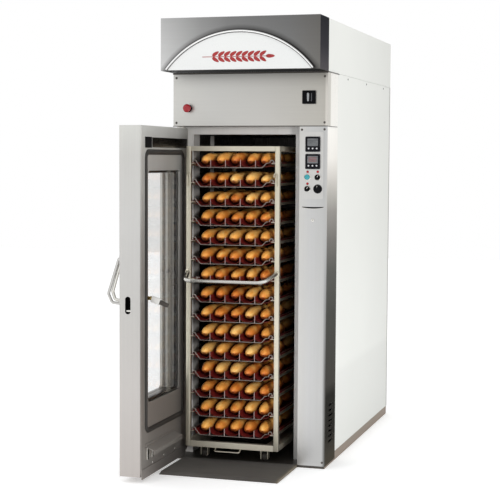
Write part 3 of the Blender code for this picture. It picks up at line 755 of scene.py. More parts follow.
def soften(node, name, mats, width=0.0015, segments=2, pick=None, angle=30):
    """The CAD solid with its edges rounded, standing in for its node."""
    src = NODES[node]
    bm = bmesh.new()
    bm.from_mesh(src.data)
    bmesh.ops.remove_doubles(bm, verts=bm.verts, dist=1e-5)
    bmesh.ops.dissolve_limit(bm, angle_limit=math.radians(1.0),
                             verts=bm.verts, edges=bm.edges)
    edges = [e for e in bm.edges if len(e.link_faces) == 2
             and e.calc_face_angle(0) > math.radians(angle)]
    if width:
        bmesh.ops.bevel(bm, geom=edges, offset=width, segments=segments,
                        profile=0.5, affect='EDGES', clamp_overlap=True)
    bmesh.ops.recalc_face_normals(bm, faces=bm.faces)
    bm.normal_update()
    if pick:
        for f in bm.faces:
            f.material_index = pick(f.normal, f.calc_center_median())
    mesh = bpy.data.meshes.new(name)
    bm.to_mesh(mesh)
    bm.free()
    smooth(mesh, 35)
    body = src["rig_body"]
    obj = obj_from(name, mesh, mats, body, node)
    mod = obj.modifiers.new("weighted", 'WEIGHTED_NORMAL')
    mod.keep_sharp = True
    return obj


def finish_node(node, mat):
    obj = NODES[node]
    obj.data.materials.clear()
    obj.data.materials.append(mat)


# ================================================================ casing
soften("base_plinth", "casing_plinth", [M_PLINTH, M_FLOOR_PAN], 0.0012, 2,
       pick=lambda n, c: 1 if n.z > 0.5 or (-0.350 < c.x < 0.262
                                            and c.y > F - 0.01
                                            and c.z > 0.003
                                            and abs(c.x) < 0.40) else 0)
for side in ("left", "right"):
    soften(f"side_panel_{side}", f"casing_side_{side}", M_WHITE, 0.0022)
soften("rear_panel", "casing_rear", M_REAR, 0.002)
soften("roof_cover", "casing_roof", M_WHITE, 0.0022)
# the canopy's side faces take the painted dark reflection; its underside and
# rear faces take black, painted shade under the hood
soften("canopy_hood", "canopy", [M_CANOPY, M_CANOPY_SIDE, M_BLACK], 0.0012, 2,
       pick=lambda n, c: 1 if abs(n.x) > 0.7 and abs(c.x) > 0.4165 else
       (0 if n.y < -0.3 or n.z > 0.3 or abs(n.x) > 0.3 else 2))
soften("upper_housing", "housing", [M_UPPER, M_WRAP_LIGHT], 0.0012, 2,
       pick=lambda n, c: 1 if abs(n.x) > 0.7 else 0)
soften("control_column", "column", [M_COLUMN, M_COLUMN_SIDE], 0.0012, 2,
       pick=lambda n, c: 1 if n.x > 0.7 and c.x > 0.40 else 0)
finish_node("door_frame", M_FRAME)
finish_node("chamber_liner", M_LINER)
finish_node("chamber_rear_wall", M_LINER)
finish_node("fan_wheel", M_CAST)
finish_node("fan_motor", M_CAST)
finish_node("threshold_ramp", M_RAMP)
finish_node("hinge_pivot_top", M_CHROME)
finish_node("hinge_pivot_bottom", M_CHROME)

# thin dark strips above the housing and above the door, proud of the front
# sheets: painted shade standing in for the shaded seams
bm = bmesh.new()
add_box(bm, (-0.4165, 0.4165), (Y(-0.0045), Y(-0.0008)), (2.0255, 2.0335),
        0.0008, 1)
add_box(bm, (-0.4165, 0.4165), (Y(-0.0040), Y(-0.0008)), (1.7560, 1.7600),
        0.0008, 1)
add_box(bm, (0.4155, 0.4185), (Y(0.0), Y(0.235)), (2.0290, 2.0335), 0.0008, 1)
add_box(bm, (0.4155, 0.4185), (Y(0.0), Y(0.200)), (1.7560, 1.7590), 0.0008, 1)
obj_from("front_drip_edges", to_mesh(bm, "front_drip_edges"),
         painted("seam_painted_shade", rgb(70, 66, 62), rough=0.4), "cabinet")

# corner screws on the front, and the row under the side seam
bm = bmesh.new()
for x, z in ((-0.398, 2.008), (0.398, 2.008), (-0.398, 1.776), (0.398, 1.776),
             (0.2804, 1.7395), (0.3985, 1.7414), (0.4000, 0.0330)):
    add_screw(bm, (x, F - 0.0002, z), '-Y', 0.0062)
for depth, z in ((0.446, 2.017), (0.918, 2.017), (1.400, 2.017)):
    add_screw(bm, (0.4150, Y(depth), z), 'X', 0.0055)
    add_screw(bm, (-0.4150, Y(depth), z), '-X', 0.0055)
for x in (-0.385, 0.0, 0.385):
    for z in (0.120, 1.060, 1.960):
        add_screw(bm, (x, Y(1.6202), z), 'Y', 0.0055)
obj_from("casing_screws", to_mesh(bm, "casing_screws"), M_SCREW, "cabinet")

# ============================================================ arched sign
half = math.asin(ARCH_R_X / ARCH_R)


def arch(radius_off, steps, trim=1.0):
    return [((ARCH_R + radius_off) * math.sin(half * trim * (2 * k / steps - 1)),
             ARCH_CZ + (ARCH_R + radius_off)
             * math.cos(half * trim * (2 * k / steps - 1)))
            for k in range(steps + 1)]


bm = bmesh.new()
sign_pts = arch(-0.006, 48, 0.985)
low_z = min(v for u, v in sign_pts)
add_plate(bm, sign_pts + [(sign_pts[-1][0], 2.0365), (sign_pts[0][0], 2.0365)],
          'XZ', Y(-0.1915), Y(-0.1815), 0)
sign_mesh = to_mesh(bm, "sign_panel")
sign = obj_from("sign_panel", sign_mesh, M_SIGN, "cabinet")
mod = sign.modifiers.new("edges", 'BEVEL')
mod.width = 0.0012
mod.segments = 2
mod.limit_method = 'ANGLE'
mod.angle_limit = math.radians(50)

bm = bmesh.new()
add_tube(bm, [(u, Y(-0.1905), v) for u, v in arch(0.0, 64)], 0.0088, 14)
rim = obj_from("sign_rim_tube", to_mesh(bm, "sign_rim_tube"), M_ARCH,
               "cabinet", "arched_sign")

# plain ear of wheat in place of any mark
bm = bmesh.new()


def add_grain(bm, x, z, length, width, angle, y=Y(-0.1922)):
    pts = []
    for k in range(16):
        a = math.tau * k / 16
        u = math.cos(a) * length / 2
        v = math.sin(a) * width / 2 * (1 - 0.25 * math.cos(a))
        pts.append((x + u * math.cos(angle) - v * math.sin(angle),
                    z + u * math.sin(angle) + v * math.cos(angle)))
    add_plate(bm, pts, 'XZ', y, y + 0.0012)


for k in range(9):
    x = -0.120 + 0.031 * k
    add_grain(bm, x, 2.115, 0.040, 0.017, math.radians(32))
    add_grain(bm, x, 2.085, 0.040, 0.017, math.radians(-32))
add_grain(bm, 0.166, 2.100, 0.046, 0.018, 0.0)
add_plate(bm, [(-0.190, 2.0985), (-0.190, 2.1015), (0.150, 2.1015),
               (0.150, 2.0985)], 'XZ', Y(-0.1922), Y(-0.1910))
obj_from("sign_wheat_ear", to_mesh(bm, "sign_wheat_ear"), M_MOTIF, "cabinet")

# ============================================================== controls
PX = F - 0.0003

bm = bmesh.new()
add_plate(bm, rounded_rect(0.2805, 0.3935, 1.389, 1.728, 0.006, 4), 'XZ',
          F - 0.0016, F - 0.0004)
obj_from("control_plate", to_mesh(bm, "control_plate"),
         steel("control_plate_steel", rgb(206, 205, 203), grain=2, rough=0.4,
               contrast=0.04), "cabinet")

for which, z0, z1, node in (("temperature", 1.6275, 1.7045,
                             "temperature_controller"),
                            ("timer", 1.5400, 1.6165, "timer_controller")):
    x0, x1 = 0.3010, 0.3770
    bm = bmesh.new()
    outer = rounded_rect(x0, x1, z0, z1, 0.005, 4)
    inner = rounded_rect(x0 + 0.006, x1 - 0.006, z0 + 0.006, z1 - 0.006,
                         0.003, 4)
    add_frame_plate(bm, outer, inner, 'XZ', F - 0.0098, F - 0.0008, 0)
    add_plate(bm, rounded_rect(x0 + 0.005, x1 - 0.005, z0 + 0.005, z1 - 0.005,
                               0.003, 4), 'XZ', F - 0.0072, F - 0.0012, 0)
    add_plate(bm, rounded_rect(x0 + 0.0105, x1 - 0.0105, z0 + 0.0290,
                               z1 - 0.0100, 0.002, 3), 'XZ', F - 0.0078,
              F - 0.0070, 1)
    for k in range(3):
        add_lathe(bm, [(0.0, 0.0034), (0.0034, 0.0032), (0.0044, 0.0022),
                       (0.0044, 0.0)], (x0 + 0.0170 + 0.021 * k, F - 0.0070,
                                        z0 + 0.0170), '-Y', 14, 2)
    # unlit figure strokes on the display
    for d in range(4):
        ux = x0 + 0.0190 + 0.0105 * d
        uz = z0 + 0.0375
        for (a, b, c, e) in ((0, 0.0062, 0, 0.0012), (0, 0.0062, 0.0110,
                             0.0122), (0, 0.0062, 0.0220, 0.0232),
                             (-0.0008, 0.0004, 0, 0.0232),
                             (0.0058, 0.0070, 0, 0.0232)):
            add_box(bm, (ux + a, ux + b), (F - 0.0081, F - 0.0076),
                    (uz + c, uz + e), 0.0, 1, 3)
    obj_from(f"{which}_unit", to_mesh(bm, f"{which}_unit"),
             [M_BEZEL, M_DISPLAY, M_LIGHT_GREY,
              painted(f"{which}_figures",
                      rgb(150, 62, 58) if which == "timer" else
                      rgb(72, 74, 78), rough=0.3)],
             "cabinet", node)

# small lamps with their bezels
bm = bmesh.new()
for x, z in ((0.3120, 1.5260), (0.3650, 1.5265), (0.3116, 1.4657)):
    add_lathe(bm, [(0.0, 0.0062), (0.0022, 0.0058), (0.0040, 0.0040),
                   (0.0046, 0.0018), (0.0046, 0.0)],
              (x, F - 0.0016, z), '-Y', 16, 0)
    add_lathe(bm, [(0.0046, 0.0022), (0.0062, 0.0020), (0.0068, 0.0),
                   (0.0046, 0.0)], (x, F - 0.0016, z), '-Y', 16, 1)
obj_from("panel_lamps", to_mesh(bm, "panel_lamps"), [M_LED, M_RED],
         "cabinet")

# bezels under the push button and selectors
bm = bmesh.new()
for x, z, r, hole in ((0.3110, 1.4990, 0.0180, 0.0148),
                      (0.3645, 1.4985, 0.0165, 0.0115),
                      (0.3110, 1.4398, 0.0165, 0.0115)):
    add_lathe(bm, [(hole, 0.0042), (r * 0.92, 0.0040), (r, 0.0026),
                   (r, 0.0), (hole, 0.0)], (x, F - 0.0004, z), '-Y', 24, 0)
add_lathe(bm, [(0.012, 0.0030), (0.0220, 0.0028), (0.0232, 0.0014),
               (0.0232, 0.0), (0.012, 0.0)],
          (0.3652, F - 0.0004, 1.4395), '-Y', 28, 1)
obj_from("control_bezels", to_mesh(bm, "control_bezels"),
         [M_CHROME, M_BLACK], "cabinet")

bm = bmesh.new()
add_lathe(bm, [(0.0, 0.0150), (0.0080, 0.0148), (0.0118, 0.0138),
               (0.0138, 0.0115), (0.0142, 0.0048), (0.0, 0.0048)],
          (0.3110, F - 0.0004, 1.4990), '-Y', 28, 0)
add_lathe(bm, [(0.0104, 0.0048), (0.0104, -0.012), (0.0, -0.012)],
          (0.3110, F - 0.0004, 1.4990), '-Y', 20, 1)
obj_from("start_button_cap", to_mesh(bm, "start_button_cap"),
         [M_TEAL, M_BLACK], "start", "start_button")


def selector(name, x, z, body, node, tilt):
    bm = bmesh.new()
    add_lathe(bm, [(0.0, 0.0105), (0.0126, 0.0103), (0.0140, 0.0090),
                   (0.0140, 0.0045), (0.0, 0.0045)], (0, 0, 0), '-Y', 28, 0)
    add_box(bm, (-0.0042, 0.0042), (-0.0200, -0.0095), (-0.0136, 0.0136),
            0.0016, 2, 0)
    add_box(bm, (-0.0009, 0.0009), (-0.0204, -0.0196), (0.0010, 0.0122), 0.0,
            1, 1)
    bmesh.ops.rotate(bm, matrix=Matrix.Rotation(tilt, 3, 'Y'),
                     verts=bm.verts, cent=(0, 0, 0))
    bmesh.ops.translate(bm, vec=(x, F, z), verts=bm.verts)
    obj_from(name, to_mesh(bm, name), [M_BLACK, M_LABEL_WHITE], body, node)


selector("light_selector_knob", 0.3645, 1.4985, "light", "light_selector",
         math.radians(38))
selector("steam_selector_knob", 0.3110, 1.4398, "steam", "steam_selector",
         math.radians(38))

bm = bmesh.new()
profile_r = 0.0200
ring_low, ring_high = [], []
ribs = 36
for k in range(ribs * 2):
    a = math.tau * k / (ribs * 2)
    r = profile_r - (0.0010 if k % 2 else 0.0)
    ring_low.append((r * math.cos(a), r * math.sin(a)))
add_plate(bm, [(0.3652 + u, 1.4395 + v) for u, v in ring_low], 'XZ',
          F - 0.0150, F - 0.0034)
add_lathe(bm, [(0.0, 0.0182), (0.0140, 0.0180), (0.0182, 0.0162),
               (0.0192, 0.0145), (0.0, 0.0145)],
          (0.3652, F, 1.4395), '-Y', 36, 0)
add_box(bm, (0.3645, 0.3659), (F - 0.0187, F - 0.0178), (1.4480, 1.4560), 0.0,
        1, 1)
obj_from("signal_knob_cap", to_mesh(bm, "signal_knob_cap"),
         [M_BLACK, M_LABEL_WHITE], "signal", "signal_knob")

# curved finger slot and lock under the control plate; the slot is a flat black
# plate, painted shade in place of the recess, with a polished rod along its
# lower lip
bm = bmesh.new()
steps = 24
top_edge, low_edge = [], []
for k in range(steps + 1):
    u = -1 + 2 * k / steps
    x = 0.342 + 0.0590 * u
    sag = 0.0035 * (1 - u * u)
    top_edge.append((x, 1.3490 - sag * 0.5))
    low_edge.append((x, 1.3490 - 0.0075 * math.sqrt(max(0.0, 1 - u * u))
                     - 0.0012 - sag * 0.5))
add_plate(bm, top_edge + low_edge[::-1], 'XZ', F - 0.0012, F - 0.0004, 0)
add_tube(bm, [(x, F - 0.0014, z) for x, z in low_edge], 0.0011, 6, 1)
obj_from("finger_slot", to_mesh(bm, "finger_slot"), [M_BLACK, M_CHROME],
         "cabinet")
bm = bmesh.new()
add_lathe(bm, [(0.0, 0.0050), (0.0060, 0.0050), (0.0078, 0.0040),
               (0.0086, 0.0018), (0.0086, 0.0)], (0.3405, F - 0.0002, 1.280),
          '-Y', 24, 0)
add_box(bm, (0.3397, 0.3413), (F - 0.0057, F - 0.0050), (1.2765, 1.2835), 0.0,
        1, 1)
obj_from("panel_lock", to_mesh(bm, "panel_lock"), [M_CHROME, M_BLACK],
         "cabinet")

# emergency stop: collar on the housing, mushroom on its stem
bm = bmesh.new()
add_lathe(bm, [(0.0132, 0.0068), (0.0160, 0.0066), (0.0182, 0.0040),
               (0.0190, 0.0), (0.0132, 0.0)], (-0.3315, F - 0.0003, 1.8510),
          '-Y', 28, 0)
obj_from("stop_collar", to_mesh(bm, "stop_collar"), M_BLACK, "cabinet")
bm = bmesh.new()
add_lathe(bm, [(0.0, 0.0362), (0.0090, 0.0356), (0.0150, 0.0338),
               (0.0195, 0.0306), (0.0215, 0.0268), (0.0212, 0.0235),
               (0.0190, 0.0212), (0.0130, 0.0198), (0.0118, 0.0180),
               (0.0118, -0.0120), (0.0, -0.0120)],
          (-0.3315, F - 0.0005, 1.8510), '-Y', 32, 0)
obj_from("stop_mushroom", to_mesh(bm, "stop_mushroom"), M_RED, "stop",
         "emergency_stop")

# main switch: black base on the housing and the turning lever
bm = bmesh.new()
add_frame_plate(bm, rounded_rect(0.2825, 0.3520, 1.8695, 1.9375, 0.004, 4),
                rounded_rect(0.2885, 0.3460, 1.8755, 1.9315, 0.003, 4), 'XZ',
                F - 0.0095, F - 0.0002, 0)
add_plate(bm, rounded_rect(0.2880, 0.3465, 1.8750, 1.9320, 0.003, 4), 'XZ',
          F - 0.0068, F - 0.0003, 0)
add_box(bm, (0.3285, 0.3330), (F - 0.0082, F - 0.0066), (1.8830, 1.9240),
        0.0008, 1, 1)
obj_from("main_switch_base", to_mesh(bm, "main_switch_base"),
         [M_BLACK, painted("switch_dark_grey", rgb(74, 76, 80), rough=0.4)],
         "cabinet")
bm = bmesh.new()
outline = (arc_points((0.3140, 1.9205), 0.0055, 0.0, math.pi, 8)
           + arc_points((0.3140, 1.8865), 0.0042, math.pi, math.tau, 8))
add_plate(bm, outline, 'XZ', F - 0.0165, F - 0.0088, 0)
lever_mesh = to_mesh(bm, "switch_lever")
lever = obj_from("switch_lever", lever_mesh, M_GREY, "main_switch",
                 "main_switch_lever")
mod = lever.modifiers.new("edges", 'BEVEL')
mod.width = 0.0012
mod.segments = 2
mod.limit_method = 'ANGLE'

# ================================================================= door
# y and z limits of the door's window
WIN = (Y(-0.492), Y(-0.040), 0.385, 1.530)



def door_pick(n, c):
    # faces inside the latch slot take black: painted shade in the slot
    if (-0.4485 < c.x < -0.4195 and Y(-0.5842) < c.y < Y(-0.540)
            and 0.831 < c.z < 0.919):
        return 1
    if (abs(n.x) < 0.3 and Y(-0.4925) < c.y < Y(-0.0395)
            and 0.384 < c.z < 1.531):
        return 2
    return 0


soften("door_shell", "door_outer", [M_DOOR, M_BLACK, M_REVEAL], 0.0022, 2,
       pick=door_pick)
finish_node("door_inner_frame", M_DOOR_IN)

# double glazing: two panes with a spacer frame between them
bm = bmesh.new()
w0, w1, v0, v1 = WIN
for a, b in ((-0.3978, -0.3938), (-0.3782, -0.3742)):
    add_plate(bm, rounded_rect(w0 + 0.0008, w1 - 0.0008, v0 + 0.0008,
                               v1 - 0.0008, 0.0190, 5), 'YZ', a, b, 0)
obj_from("door_panes", to_mesh(bm, "door_panes"), M_GLASS, "door",
         "door_window")
bm = bmesh.new()
add_frame_plate(bm, rounded_rect(w0 + 0.0008, w1 - 0.0008, v0 + 0.0008,
                                 v1 - 0.0008, 0.0190, 5),
                rounded_rect(w0 + 0.012, w1 - 0.012, v0 + 0.012, v1 - 0.012,
                             0.010, 5), 'YZ', -0.3937, -0.3783, 0)
obj_from("glazing_spacer", to_mesh(bm, "glazing_spacer"), M_RUBBER, "door")

# extruded seal: a base strip with a round bulb on it
bm = bmesh.new()
so = (Y(-0.535), Y(0.020), 0.236, 1.634)
loop = rounded_rect(so[0] + 0.013, so[1] - 0.013, so[2] + 0.013,
                    so[3] - 0.013, 0.032, 8)
sides = 10
rings = []
for k, (u, v) in enumerate(loop):
    pu, pv = loop[k - 1]
    nu, nv = loop[(k + 1) % len(loop)]
    t = Vector((nu - pu, nv - pv)).normalized()
    out_u, out_v = t.y, -t.x
    rings.append([bm.verts.new((-0.3644 + 0.0082 * math.sin(a) ** 0.7,
                                u + out_u * 0.0105 * math.cos(a),
                                v + out_v * 0.0105 * math.cos(a)))
                  for a in (math.pi * j / sides for j in range(sides + 1))])
for k in range(len(loop)):
    p, q = rings[k], rings[(k + 1) % len(loop)]
    for j in range(sides):
        bm.faces.new((p[j], p[j + 1], q[j + 1], q[j]))
    bm.faces.new((p[sides], p[0], q[0], q[sides]))
add_frame_plate(bm, rounded_rect(so[0], so[1], so[2], so[3], 0.045, 8),
                rounded_rect(so[0] + 0.026, so[1] - 0.026, so[2] + 0.026,
                             so[3] - 0.026, 0.020, 8), 'YZ', -0.3645,
                -0.3618, 0)
obj_from("door_seal", to_mesh(bm, "door_seal", 50), M_RUBBER, "door",
         "door_gasket")

# painted shade: a black strip and a dark band across the top of the inner face
# stand in for the shade there
bm = bmesh.new()
add_box(bm, (-0.3646, -0.3626), (Y(-0.533), Y(-0.444)), (1.6420, 1.6950),
        0.0006, 1, 0)
add_box(bm, (-0.3646, -0.3632), (Y(-0.436), Y(0.070)), (1.6440, 1.6930),
        0.0006, 1, 1)
obj_from("door_top_band", to_mesh(bm, "door_top_band"),
         [M_BLACK, M_DOOR_TOP_SHADE], "door")

# drip ledge with its end brackets and screws, sweep strip under it
soften("door_drip_ledge", "drip_ledge", M_DOOR_IN, 0.001, 2)
bm = bmesh.new()
for depth in (-0.522, -0.455):
    add_box(bm, (-0.3645, -0.3560), (Y(depth), Y(depth + 0.022)),
            (0.1060, 0.1660), 0.0015, 2)
for depth, z in ((-0.110, 0.080), (-0.270, 0.078), (-0.430, 0.076)):
    add_screw(bm, (-0.3644, Y(depth), z), 'X', 0.0055)
obj_from("ledge_brackets", to_mesh(bm, "ledge_brackets"), M_CHROME, "door")
bm = bmesh.new()
add_plate(bm, [(-0.3644, 0.066), (-0.3612, 0.066), (-0.3604, 0.040),
               (-0.3585, 0.0195), (-0.3644, 0.0195)], 'XZ', Y(-0.583),
          Y(0.045))
obj_from("door_sweep", to_mesh(bm, "door_sweep"), M_DOOR_IN, "door")

# pull lever: two bars from a pivot block, joined by a return at the foot
PULL_Y = Y(-0.535)
bm = bmesh.new()
add_tube(bm, bent([(-0.4822, PULL_Y - 0.006, 1.100),
                   (-0.4980, PULL_Y - 0.006, 1.100),
                   (-0.5540, PULL_Y - 0.006, 0.925),
                   (-0.5340, PULL_Y - 0.006, 0.882),
                   (-0.4880, PULL_Y - 0.006, 0.878)], 0.016, 5), 0.0075, 10,
         0)
add_tube(bm, bent([(-0.4822, PULL_Y + 0.006, 1.092),
                   (-0.4920, PULL_Y + 0.006, 1.085),
                   (-0.5360, PULL_Y + 0.006, 0.935),
                   (-0.5240, PULL_Y + 0.006, 0.898),
                   (-0.4880, PULL_Y + 0.006, 0.890)], 0.014, 5), 0.0080, 10,
         1)
add_box(bm, (-0.4940, -0.4835), (PULL_Y - 0.016, PULL_Y + 0.016),
        (1.074, 1.118), 0.0025, 2, 0)
pull = obj_from("pull_lever", to_mesh(bm, "pull_lever"), [M_DOOR, M_CHROME],
                "pull", "door_pull")
bm = bmesh.new()
add_box(bm, (-0.4825, -0.4782), (PULL_Y - 0.022, PULL_Y + 0.022),
        (1.066, 1.132), 0.0012, 2, 0)
add_box(bm, (-0.4860, -0.4782), (PULL_Y - 0.016, PULL_Y + 0.016),
        (0.866, 0.902), 0.0016, 2, 0)
for z in (1.072, 1.126):
    add_screw(bm, (-0.4825, PULL_Y, z), '-X', 0.0035)
obj_from("pull_mounts", to_mesh(bm, "pull_mounts"), M_DOOR, "door")

# latch bolt roller standing in the slot of the door's free edge
bm = bmesh.new()
add_lathe(bm, [(0.0, 0.012), (0.0050, 0.0118), (0.0056, 0.0105),
               (0.0056, -0.0105), (0.0050, -0.0118), (0.0, -0.012)],
          (-0.4300, Y(-0.5790), 0.8480), 'X', 16, 0)
obj_from("latch_roller", to_mesh(bm, "latch_roller"), M_CHROME, "door")

# inside release: brass boss, white grip and dark end, on one turning lever
REL_Y, REL_Z = Y(-0.4975), 0.905
bm = bmesh.new()
add_lathe(bm, [(0.0, 0.022), (0.0085, 0.0215), (0.0105, 0.0195),
               (0.0105, 0.0145), (0.0090, 0.0135), (0.0090, 0.004),
               (0.0105, 0.003), (0.0105, 0.0003), (0.0, 0.0003)],
          (-0.3640, REL_Y, REL_Z), 'X', 20, 0)
start = len(bm.verts)
add_box(bm, (0.0, 0.0480), (-0.0085, 0.0085), (-0.0150, 0.0150), 0.0035, 3, 1)
add_box(bm, (0.0470, 0.0940), (-0.0065, 0.0065), (-0.0105, 0.0105), 0.0040,
        3, 2)
add_box(bm, (0.0450, 0.0500), (-0.0075, 0.0075), (-0.0122, 0.0122), 0.0015,
        2, 2)
bm.verts.ensure_lookup_table()
grip = bm.verts[start:]
bmesh.ops.rotate(bm, matrix=Matrix.Rotation(math.radians(20.5), 3, 'Y'),
                 verts=grip, cent=(0, 0, 0))
bmesh.ops.translate(bm, vec=(-0.3440, REL_Y, REL_Z - 0.0015), verts=grip)
obj_from("release_lever", to_mesh(bm, "release_lever"),
         [M_BRASS, M_LABEL_WHITE, M_DARK_GRIP], "release", "inside_release")

# ================================================================= rack
RACK_X, RACK_Y0 = -0.080, Y(-0.030)
RX0, RX1 = -0.3325, 0.1725
RACK_TOP = 1.655


def tray_level(k):
    return 1.548 - 0.10026 * k


for hand, x0, x1, inward in (("left", RX0, RX0 + 0.025, 1),
                             ("right", RX1 - 0.025, RX1, -1)):
    bm = bmesh.new()
    for y0 in (RACK_Y0, RACK_Y0 + 0.775):
        add_box(bm, (x0, x1), (y0, y0 + 0.025), (0.079, RACK_TOP), 0.0022, 3)
    for z0, z1 in ((0.079, 0.110), (RACK_TOP - 0.025, RACK_TOP)):
        add_box(bm, (x0 + 0.0003, x1 - 0.0003),
                (RACK_Y0 + 0.0245, RACK_Y0 + 0.7755), (z0, z1), 0.0020, 2)
    edge = x1 if inward > 0 else x0
    for k in range(15):
        top = tray_level(k) + 0.0195
        flat = sorted((edge - inward * 0.0040, edge + inward * 0.0195))
        lip = sorted((edge - inward * 0.0040, edge - inward * 0.0018))
        add_box(bm, flat, (RACK_Y0 + 0.002, RACK_Y0 + 0.798),
                (top - 0.0030, top), 0.0005, 1)
        add_box(bm, lip, (RACK_Y0 + 0.024, RACK_Y0 + 0.776),
                (top - 0.0150, top - 0.0005), 0.0005, 1)
    obj_from(f"rack_frame_{hand}", to_mesh(bm, f"rack_frame_{hand}"), M_RACK,
             "rack", f"rack_side_{hand}")
finish_node("rack_base_frame", M_RACK_X)
finish_node("rack_top_frame", M_RACK_X)

bm = bmesh.new()
add_tube(bm, bent([(RX0 + 0.0125, RACK_Y0 - 0.0005, 1.002),
                   (-0.2820, Y(-0.190), 0.968), (0.1300, Y(-0.190), 0.968),
                   (RX1 - 0.0125, RACK_Y0 - 0.0005, 1.002)], 0.050, 10),
         0.0105, 16)
obj_from("push_bar", to_mesh(bm, "push_bar"), M_BAR, "rack",
         "rack_push_bar")

# hinged retaining rods on the front posts, and welded collars
bm = bmesh.new()
for x, hand in ((RX0 + 0.010, 1), (RX1 - 0.014, -1)):
    add_tube(bm, bent([(x, RACK_Y0 + 0.004, 1.512),
                       (x, RACK_Y0 - 0.010, 1.512),
                       (x, RACK_Y0 - 0.010, 1.452),
                       (x + hand * 0.004, RACK_Y0 + 0.004, 1.452)], 0.006, 4),
             0.0028, 8)
    add_tube(bm, bent([(x + hand * 0.006, RACK_Y0 - 0.004, 1.520),
                       (x + hand * 0.012, RACK_Y0 - 0.009, 1.510),
                       (x + hand * 0.013, RACK_Y0 - 0.009, 1.496)], 0.004, 4),
             0.0032, 8)
for x in (RX0 + 0.0125, RX1 - 0.0125):
    add_lathe(bm, [(0.0112, 0.0055), (0.0150, 0.0040), (0.0165, 0.0),
                   (0.0112, 0.0)], (x, RACK_Y0, 1.0015), '-Y', 18)
obj_from("rack_catches", to_mesh(bm, "rack_catches"), M_RACK, "rack")

for place in ("front_left", "front_right", "rear_left", "rear_right"):
    finish_node(f"caster_fork_{place}", M_RACK)
    node = f"caster_wheel_{place}"
    low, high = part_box(node)
    c = (low + high) / 2
    bm = bmesh.new()
    add_lathe(bm, [(0.0040, 0.0160), (0.0085, 0.0160), (0.0095, 0.0140),
                   (0.0150, 0.0100), (0.0175, 0.0125), (0.0200, 0.0125),
                   (0.0228, 0.0105), (0.0235, 0.0070), (0.0235, -0.0070),
                   (0.0228, -0.0105), (0.0200, -0.0125), (0.0175, -0.0125),
                   (0.0150, -0.0100), (0.0095, -0.0140), (0.0085, -0.0160),
                   (0.0040, -0.0160), (0.0040, 0.0160)], c, 'X', 28)
    obj_from(f"wheel_{place}", to_mesh(bm, f"wheel_{place}"), M_TREAD,
             f"wheel_{place}", node)

# ================================================================ trays
TRAY_Y0, TRAY_Y1 = RACK_Y0 + 0.004, RACK_Y0 + 0.788
PITCH, DEPTH = 0.081, 0.020


RIDGE = 0.012


def channel_profile(z, facets=10):
    """Top line of the corrugated sheet, left rim to right rim."""
    crest = z + DEPTH + 0.002
    floor_z = crest - DEPTH
    pts = [(-0.3055, crest - 0.001), (-0.3035, crest), (-0.2860, crest)]
    first = RACK_X - PITCH * 2.5
    for c in range(5):
        centre = first + PITCH * (c + 0.5)
        left = crest + (RIDGE if c else 0.0)
        right = crest + (RIDGE if c < 4 else 0.0)
        for k in range(facets + 1):
            a = math.pi * k / facets
            top = left if k <= facets / 2 else right
            pts.append((centre - (PITCH / 2 - 0.0012) * math.cos(a),
                        top - (top - floor_z) * math.sin(a) ** 0.62))
    pts += [(0.1260, crest), (0.1435, crest), (0.1455, crest - 0.001)]
    return pts


